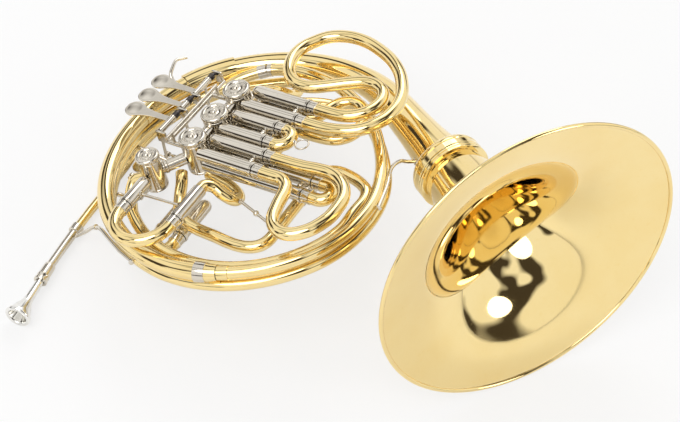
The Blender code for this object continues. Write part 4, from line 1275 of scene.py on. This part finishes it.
    def build(self) -> list[Piece]:
        """Every sleeve and crook.

        Returns:
            The pieces.
        """
        f_bow = bow_route(76.0, self.f_legs, self.f_level)
        made = self.pair(1, True, 78.0, self.first_route(), True)
        made += self.pair(1, False, 130.0, bow_route(146.0, self.bb_legs, self.bb_level), False)
        made += self.pair(2, True, 65.0, f_bow, False)
        self.pull_ring(made[-1], 92.2)
        made += self.pair(2, False, 48.0, bow_route(58.0, self.bb_legs, self.bb_level), False)
        made += self.pair(3, True, 78.0, self.third_route(), True)
        made += self.pair(3, False, 56.0, self.third_low_route(), True)
        return made + self.tuning(MAIN_SLIDE) + self.tuning(REAR_SLIDE)


@dataclass
class FixedTubes:
    """The tubes that cross the middle of the horn, and their brace."""

    level: float = -7.0
    ferrule: float = TUBE_RADIUS + 0.7

    def elbow(self) -> Piece:
        """From the main slide under the F slides back to the first valve.

        Returns:
            The piece.
        """
        turn = Matrix.Rotation(radians(MAIN_ANGLE), 4, "Z")
        offset = MAIN_SLIDE.offsets[0]
        top, above = (turn @ Vector((along, offset, MAIN_SLIDE.level)) for along in (71.2, 68))
        route = smooth_route([top, above, (24, -55.5, 16), (33, -50, 8), (38, -42.5, 0), (32, -36, -4),
                              (16, -36, -4), (2, -39.5, -4), (-8, -43, -3.5), (-17, -46, -3.5)])
        return Piece("main_elbow").tube(route, TUBE_RADIUS)

    def crossover(self) -> Piece:
        """The long tube across the back of the horn.

        Returns:
            The piece.
        """
        z = self.level
        route = smooth_route([(-27, -69, 5.2), (-19, -73, 3), (-8, -82, -4), (10, -91, z), (34, -90, z),
                              (64, -77, z), (86, -67, z), (100, -55, z), (103, -42, z), (95, -26, z),
                              (74, 9, z), (60, 34, z)])
        return Piece("crossover_tube").tube(route, TUBE_RADIUS).tube(route[-3:], self.ferrule, Metal.NICKEL)

    def f_branch(self) -> Piece:
        """From the crossing round the bottom of the coil to the change valve.

        Returns:
            The piece.
        """
        z = self.level
        keys = [(-150, 134, -9), (-100, 131, -9), (-60, 134, -9), (-30, 137.5, -9),
                (0, 137, -9), (12, 134, -9)]
        around = spiral(keys, -98.0, 8.0)
        ahead = spiral(keys, 0.0, 8.0)[0]
        first = smooth_route([(59.4, 35.1, z), (55.5, 42.1, z), (58, 53, z), (72, 62, z), (98, 67, z),
                              (112, 61, z), (122, 44, z), around[-1], ahead])
        before = spiral(keys, -98.0, -90.0)[-1]
        second = smooth_route([before, around[0], (-31, -126, -7), (-41, -119, 2), (-43, -109, 10),
                               (-37, -99, 12)])
        start = first[:index_of(first, around[-1])]
        end = second[index_of(second, around[0]) + 1:]
        route = start + around[::-1] + end
        return Piece("f_branch").tube(route, TUBE_RADIUS).tube(route[:4], self.ferrule, Metal.NICKEL)

    def brace(self) -> Piece:
        """Straight brace with a ball across the back.

        Returns:
            The piece.
        """
        start = Vector((43.5, -38.5, 0))
        axis = Vector((88, -27.5, self.level + 1.0)) - start
        profile = [(0, 2.8), (1, 2.6), (1.4, THIN_BAR), *ball(23.0, 2.9, 3.0, 150), (43, THIN_BAR),
                   (43.4, 2.6), (44.4, 2.8)]
        return Piece("cross_brace").turn(profile, axis, 24, start=start)

    def build(self) -> list[Piece]:
        """Every fixed crossing tube."""
        return [self.elbow(), self.crossover(), self.f_branch(), self.brace()]


@dataclass(frozen=True)
class LeverShape:
    """Sizes of one lever, in its hinge's frame."""

    reach: float
    drop: float
    lean: float
    paddle: float
    hub: tuple[float, float]

    @property
    def tip(self) -> Vector:
        """The pin that moves the link."""
        return Vector((-abs(self.drop) * sin(radians(self.lean)), 0, -self.drop * cos(radians(self.lean))))


@dataclass
class LeverSection:
    """Finger levers, thumb lever, links, springs and their frames."""

    hinge_u: float = -45.0
    hinge_z: float = 30.0
    reach: float = 47.0
    drop: float = 36.0
    lean: float = 8.0
    places: tuple[float, float, float] = (-16.8, 5.0, 26.8)
    posts: tuple[float, ...] = (-37.2, -1.5, 21.0, 57.5)
    rail_u: float = 9.0
    rail_z: float = -9.0
    cross_u: float = 17.5
    thumb_u: float = -62.0
    thumb_z: float = -30.0
    thumb_drop: float = 24.0
    thumb_lean: float = 11.9
    thumb_reach: float = 27.0
    thumb_place: float = -36.0
    thumb_posts: tuple[float, float] = (-78.5, -20.5)
    shaft: float = 1.9
    hub_half: float = 4.2
    spring_gap: float = 0.9
    spring_radius: float = 3.0
    spring_wire: float = 0.45
    spring_pitch: float = 1.5
    spring_curls: int = 4

    def row(self, u: float, w: float, z: float) -> Matrix:
        """A frame on the valve row."""
        return plan_frame(MIDDLE_VALVE, ROW_ANGLE) @ Matrix.Translation((u, w, z))

    def lever(self, name: str, place: Matrix, shape: LeverShape) -> Piece:
        """A touch paddle, its arm, the hinge tube and the arm to the link.

        Args:
            name: Its CAD node.
            place: The hinge's frame.
            shape: Its sizes.

        Returns:
            The piece.
        """
        tip = shape.tip
        arm = -3.4
        down = -1.0 if shape.drop > 0 else 1.0
        first, last = shape.hub
        end = [(0, 2.2), (0, 3.3), (0.3, 3.6), (2, 3.6), (2.4, 3.2)]
        hub = shifted(end, first) + [(last - along, radius) for along, radius in reversed(end)]
        made = Piece(name, place).turn(hub, Y_AXIS, 32, closed=True)
        made.add(self.blade(shape.reach, shape.paddle), Metal.NICKEL)
        made.rod((-0.4, arm, 2.9 * down), (tip.x, arm, tip.z + 1.2 * down), 1.5)
        made.rod((tip.x, arm, tip.z), (tip.x, 2.2, tip.z), 1.1, Metal.STEEL)
        return made.rod((tip.x, -5, tip.z), (tip.x, -2.2, tip.z), 2.2)

    def blade(self, reach: float, paddle: float) -> bmesh.types.BMesh:
        """The touch paddle and its arm, as one spoon that narrows to the hinge.

        Args:
            reach: From the hinge to the paddle's middle.
            paddle: The paddle's offset to the side.

        Returns:
            A closed bmesh.
        """
        keys = [(0, 2.6), (0.6, 4.4), (1.8, 6.3), (4, 8.4), (7, 9.7), (10.5, 10), (15, 8.9), (21, 6.4),
                (28, 4.5), (38, 3.5), (reach + 7.0, 3.1)]
        steps = 44
        across = 8
        thick = 1.8
        dish = 0.35
        start = -reach - 10.0
        places = [(reach + 7.2) * (k / steps) ** 1.35 for k in range(steps + 1)]
        halves = [blend(keys, place) for place in places]
        stations = [Matrix.Translation((start + place, paddle, 0)) @ Matrix.Diagonal((1, half, 1, 1))
                    for place, half in zip(places, halves)]
        bm = bmesh.new()
        row = [stations[0] @ Vector((0, 2.0 * k / across - 1.0, 0)) for k in range(across + 1)]
        carry(bm, open_row(bm, row), stations)
        bmesh.ops.recalc_face_normals(bm, faces=bm.faces)
        grown = bmesh.ops.extrude_face_region(bm, geom=bm.faces[:])["geom"]
        top = [item for item in grown if isinstance(item, bmesh.types.BMVert)]
        bmesh.ops.translate(bm, vec=(0, 0, thick), verts=top)
        bmesh.ops.translate(bm, vec=(0, 0, -thick / 2.0), verts=bm.verts)
        for vertex in top:
            away = Vector((vertex.co.x + reach, vertex.co.y - paddle))
            vertex.co.z -= dish * max(0.0, 1.0 - (away.length / 8.0) ** 2)
        bmesh.ops.recalc_face_normals(bm, faces=bm.faces)
        rims = [edge for edge in bm.edges if len(edge.link_faces) == 2
                and edge.calc_face_angle(0.0) > radians(60.0)]
        bmesh.ops.bevel(bm, geom=rims, offset=0.4, segments=3, affect="EDGES", profile=0.5, material=-1)
        return bm

    def link(self, name: str, place: Matrix, length: float) -> Piece:
        """A rod with a near eye on the lever's pin and a far eye at the stop arm.

        Args:
            name: Its CAD node.
            place: The near eye's frame.
            length: From eye to eye.

        Returns:
            The piece.
        """
        near = [(-1.6, 1.45), (-1.6, 2.7), (-1.3, 3), (1.3, 3), (1.6, 2.7), (1.6, 1.45)]
        far = [(-1.3, 2.7), (-1.3, 3.7), (-1, 4), (1, 4), (1.3, 3.7), (1.3, 2.7)]
        made = Piece(name, place).turn(near, Y_AXIS, 32, closed=True)
        made.turn(far, Z_AXIS, 32, start=(length, 0, 0), closed=True)
        made.rod((2.2, 0, 0), (length - 3.1, 0, 0), 1.2)
        return made.rod((5, 0, 0), (9, 0, 0), 1.8, sides=6)

    def spring(self, name: str, place: Matrix, start: float) -> Piece:
        """Open coil of spring wire round the hinge shaft.

        Args:
            name: Its CAD node.
            place: The shaft's frame.
            start: Where on the shaft it starts.

        Returns:
            The piece.
        """
        per_curl = 24
        radius = self.spring_radius
        parts = [k / per_curl for k in range(self.spring_curls * per_curl + 1)]
        points = [(radius * sin(2.0 * pi * part), start + self.spring_pitch * part,
                   radius * cos(2.0 * pi * part)) for part in parts]
        return Piece(name, place).tube(points, self.spring_wire, Metal.STEEL, 10)

    def train(self, names: tuple[str, str, str], hinge: tuple[float, float, float], valve_u: float,
              shape: LeverShape) -> list[Piece]:
        """One lever with its link and its spring.

        Args:
            names: Their nodes.
            hinge: Where the lever's frame stands on the valve row.
            valve_u: Where the valve that it turns stands, across the row.
            shape: The lever's sizes.

        Returns:
            The three pieces.
        """
        u, w, z = hinge
        tip = shape.tip
        eye = valve_u + STOP_REACH * cos(radians(STOP_ANGLE))
        return [
            self.lever(names[0], self.row(u, w, z), shape),
            self.link(names[1], self.row(u + tip.x, w, z + tip.z), eye - u - tip.x),
            self.spring(names[2], self.row(u, 0.0, z), w + shape.hub[1] + self.spring_gap),
        ]

    def frame_piece(self) -> Piece:
        """Hinge shaft, its posts, the stop rail and the feet to the valves.

        Returns:
            The piece.
        """
        made = Piece("lever_frame", self.row(self.hinge_u, 0.0, self.hinge_z))
        thick = 1.2
        low = self.posts[0] - thick
        high = self.posts[-1] + thick
        u, z = self.rail_u, self.rail_z
        foot = self.cross_u
        made.rod((0, low, 0), (0, high, 0), self.shaft, Metal.STEEL, 24)
        made.rod((u, low, z), (u, high, z), 2.0, sides=24)
        for w in self.posts:
            made.add(block((-3, w - thick, -10.5), (u, w + thick, 3), 0.5), Metal.NICKEL)
        for w in (-VALVE_PITCH + 0.5, VALVE_PITCH):
            made.rod((u, w, z), (32.2, w, z), 2.4)
            made.rod((foot, w, z), (foot, w, 5), 1.5)
        return made.rod((foot, -VALVE_PITCH - 8.0, 5), (foot, VALVE_PITCH + 2.0, 5), 1.6)

    def thumb_frame(self) -> Piece:
        """Thumb lever's shaft on its two posts.

        Returns:
            The piece.
        """
        place = self.row(self.thumb_u, 0.0, self.thumb_z)
        low, high = self.thumb_posts
        made = Piece("thumb_bracket", place).rod((0, low, 0), (0, high, 0), self.shaft, Metal.STEEL, 24)
        for w in self.thumb_posts:
            shaft = place @ Vector((0, w, 0))
            outward = Vector((shaft.x, shaft.y, 0)).normalized()
            coil = outward * COIL_RADIUS + Vector((0, 0, -LAYER_DROP))
            foot = place.inverted() @ (coil + (shaft - coil).normalized() * (TUBE_RADIUS + 0.1))
            made.rod((0, w, 0), foot, 2.4)
        return made

    def build(self) -> list[Piece]:
        """Every lever with its linkage and springs.

        Returns:
            The pieces.
        """
        made = [self.frame_piece(), self.thumb_frame()]
        half = self.hub_half
        for number in (1, 2, 3):
            w = VALVE_PITCH * (number - 2) + LINK_SIDE
            paddle = self.places[number - 1] - w
            shape = LeverShape(self.reach, self.drop, self.lean, paddle,
                               (min(paddle, 0.0) - half, max(paddle, 0.0) + half))
            names = (f"lever_{number}", f"link_{number}", f"spring_{number}")
            made += self.train(names, (self.hinge_u, w, self.hinge_z), 0.0, shape)
        w = CHANGE_VALVE[1] - VALVE_PITCH + LINK_SIDE
        paddle = self.thumb_place - w
        shape = LeverShape(self.thumb_reach, -self.thumb_drop, self.thumb_lean, paddle, (-5.7, paddle + half))
        names = ("thumb_lever", "thumb_link", "thumb_spring")
        return made + self.train(names, (self.thumb_u, w, self.thumb_z), CHANGE_VALVE[0], shape)


@dataclass(frozen=True)
class Lamp:
    """One round soft lamp that points at the horn."""

    name: str
    place: tuple[float, float, float]
    size: float
    power: float

    def make(self) -> None:
        """Put the lamp into the scene."""
        data = bpy.data.lights.new(self.name, "AREA")
        data.shape = "DISK"
        data.size = self.size
        data.energy = self.power
        made = bpy.data.objects.new(self.name, data)
        bpy.context.scene.collection.objects.link(made)
        made.location = self.place
        aim = Vector((0, 0, 0.1)) - Vector(self.place)
        made.rotation_euler = aim.to_track_quat("-Z", "Y").to_euler()


LAMPS = (
    Lamp("key_lamp", (0.4, -1.4, 2.2), 2.0, 26.0),
    Lamp("fill_lamp", (-1.6, 0.9, 1.7), 1.6, 14.0),
    Lamp("edge_lamp", (1.8, 1.4, 1.2), 0.9, 8.0),
)


@dataclass
class Studio:
    """Pale floor, soft light and the camera at the photograph's angle."""

    focal_pixels: float = 2000.0
    width_pixels: float = 680.0
    sensor: float = 36.0
    position: Vector = fixed(1442.4, -354.0, 1260.8)
    right: Vector = fixed(0.452, 0.867, -0.209)
    up: Vector = fixed(-0.542, 0.453, 0.708)
    back: Vector = fixed(0.709, -0.206, 0.675)
    floor_size: float = 12.0
    floor_level: float = -0.0005
    floor_colour: Colour = (0.93, 0.93, 0.93)
    floor_glow: Colour = (0.962, 0.962, 0.962)
    glow_share: float = 0.72
    backdrop: Colour = (0.956, 0.956, 0.956)
    dark_tone: Colour = (0.06, 0.05, 0.04)
    band_scale: float = 1.7
    band_levels: tuple[float, float] = (0.40, 0.47)

    def camera(self) -> None:
        """Place the camera."""
        data = bpy.data.cameras.new("camera")
        data.sensor_width = self.sensor
        data.lens = self.focal_pixels / self.width_pixels * self.sensor
        data.clip_end = 50.0
        made = bpy.data.objects.new("camera", data)
        bpy.context.scene.collection.objects.link(made)
        axes = Matrix([LAY_TURN @ side for side in (self.right, self.up, self.back)]).transposed()
        turn = axes.to_quaternion().to_matrix().to_4x4()
        made.matrix_world = Matrix.Translation(LAY @ self.position) @ turn
        bpy.context.scene.camera = made

    def floor(self) -> None:
        """A wide pale floor that keeps the soft shadow."""
        bm = bmesh.new()
        bmesh.ops.create_grid(bm, x_segments=1, y_segments=1, size=self.floor_size)
        mesh = bpy.data.meshes.new("floor")
        bm.to_mesh(mesh)
        bm.free()
        made = bpy.data.objects.new("floor", mesh)
        made.location.z = self.floor_level
        bpy.context.scene.collection.objects.link(made)
        material = bpy.data.materials.new("pale_floor")
        shader = Shader(material)
        surface = shader.tree.nodes["Principled BSDF"]
        for name, value in (("Base Color", self.floor_colour), ("Roughness", 0.9),
                            ("Specular IOR Level", 0.1)):
            shader.feed(surface.inputs[name], value)
        glow = shader.add("ShaderNodeEmission", {}, {"Color": self.floor_glow, "Strength": 1.0})
        ray = shader.add("ShaderNodeLightPath", output="Is Camera Ray")
        mixed = shader.add("ShaderNodeMixShader", {}, {
            0: ray * self.glow_share, 1: Socket(shader, surface.outputs[0]), 2: glow,
        })
        shader.feed(shader.tree.nodes["Material Output"].inputs["Surface"], mixed)
        mesh.materials.append(material)

    def world(self) -> None:
        """Pale to the camera; a softly banded studio to everything else."""
        world = bpy.data.worlds.new("studio")
        bpy.context.scene.world = world
        shader = Shader(world)
        place = shader.add("ShaderNodeTexCoord", output="Generated")
        ray = shader.add("ShaderNodeLightPath", output="Is Camera Ray")
        bands = shader.add("ShaderNodeTexNoise", {},
                           {"Vector": place, "Scale": self.band_scale, "Detail": 1.0})
        soft = shader.ramp(bands, self.band_levels, self.dark_tone)
        background = shader.tree.nodes["Background"]
        shader.feed(background.inputs["Color"], shader.mix(ray, soft, self.backdrop))
        shader.feed(background.inputs["Strength"], 1.0)

    def build(self) -> None:
        """Set up the camera, the floor, the lights and the colour transform."""
        self.camera()
        self.floor()
        self.world()
        for lamp in LAMPS:
            lamp.make()
        bpy.context.scene.view_settings.view_transform = "Standard"


def main() -> None:
    """Build the studio, then every section of the horn."""
    logging.basicConfig(level=logging.INFO, format="%(message)s")
    Studio().build()
    materials = {metal: finish.make() for metal, finish in FINISHES.items()}
    sections = (BellSection(), CoilSection(), ValveSection(), SlideSection(), FixedTubes(), LeverSection())
    for section in sections:
        for piece in section.build():
            piece.place_piece(materials)


if __name__ == "__main__":
    main()
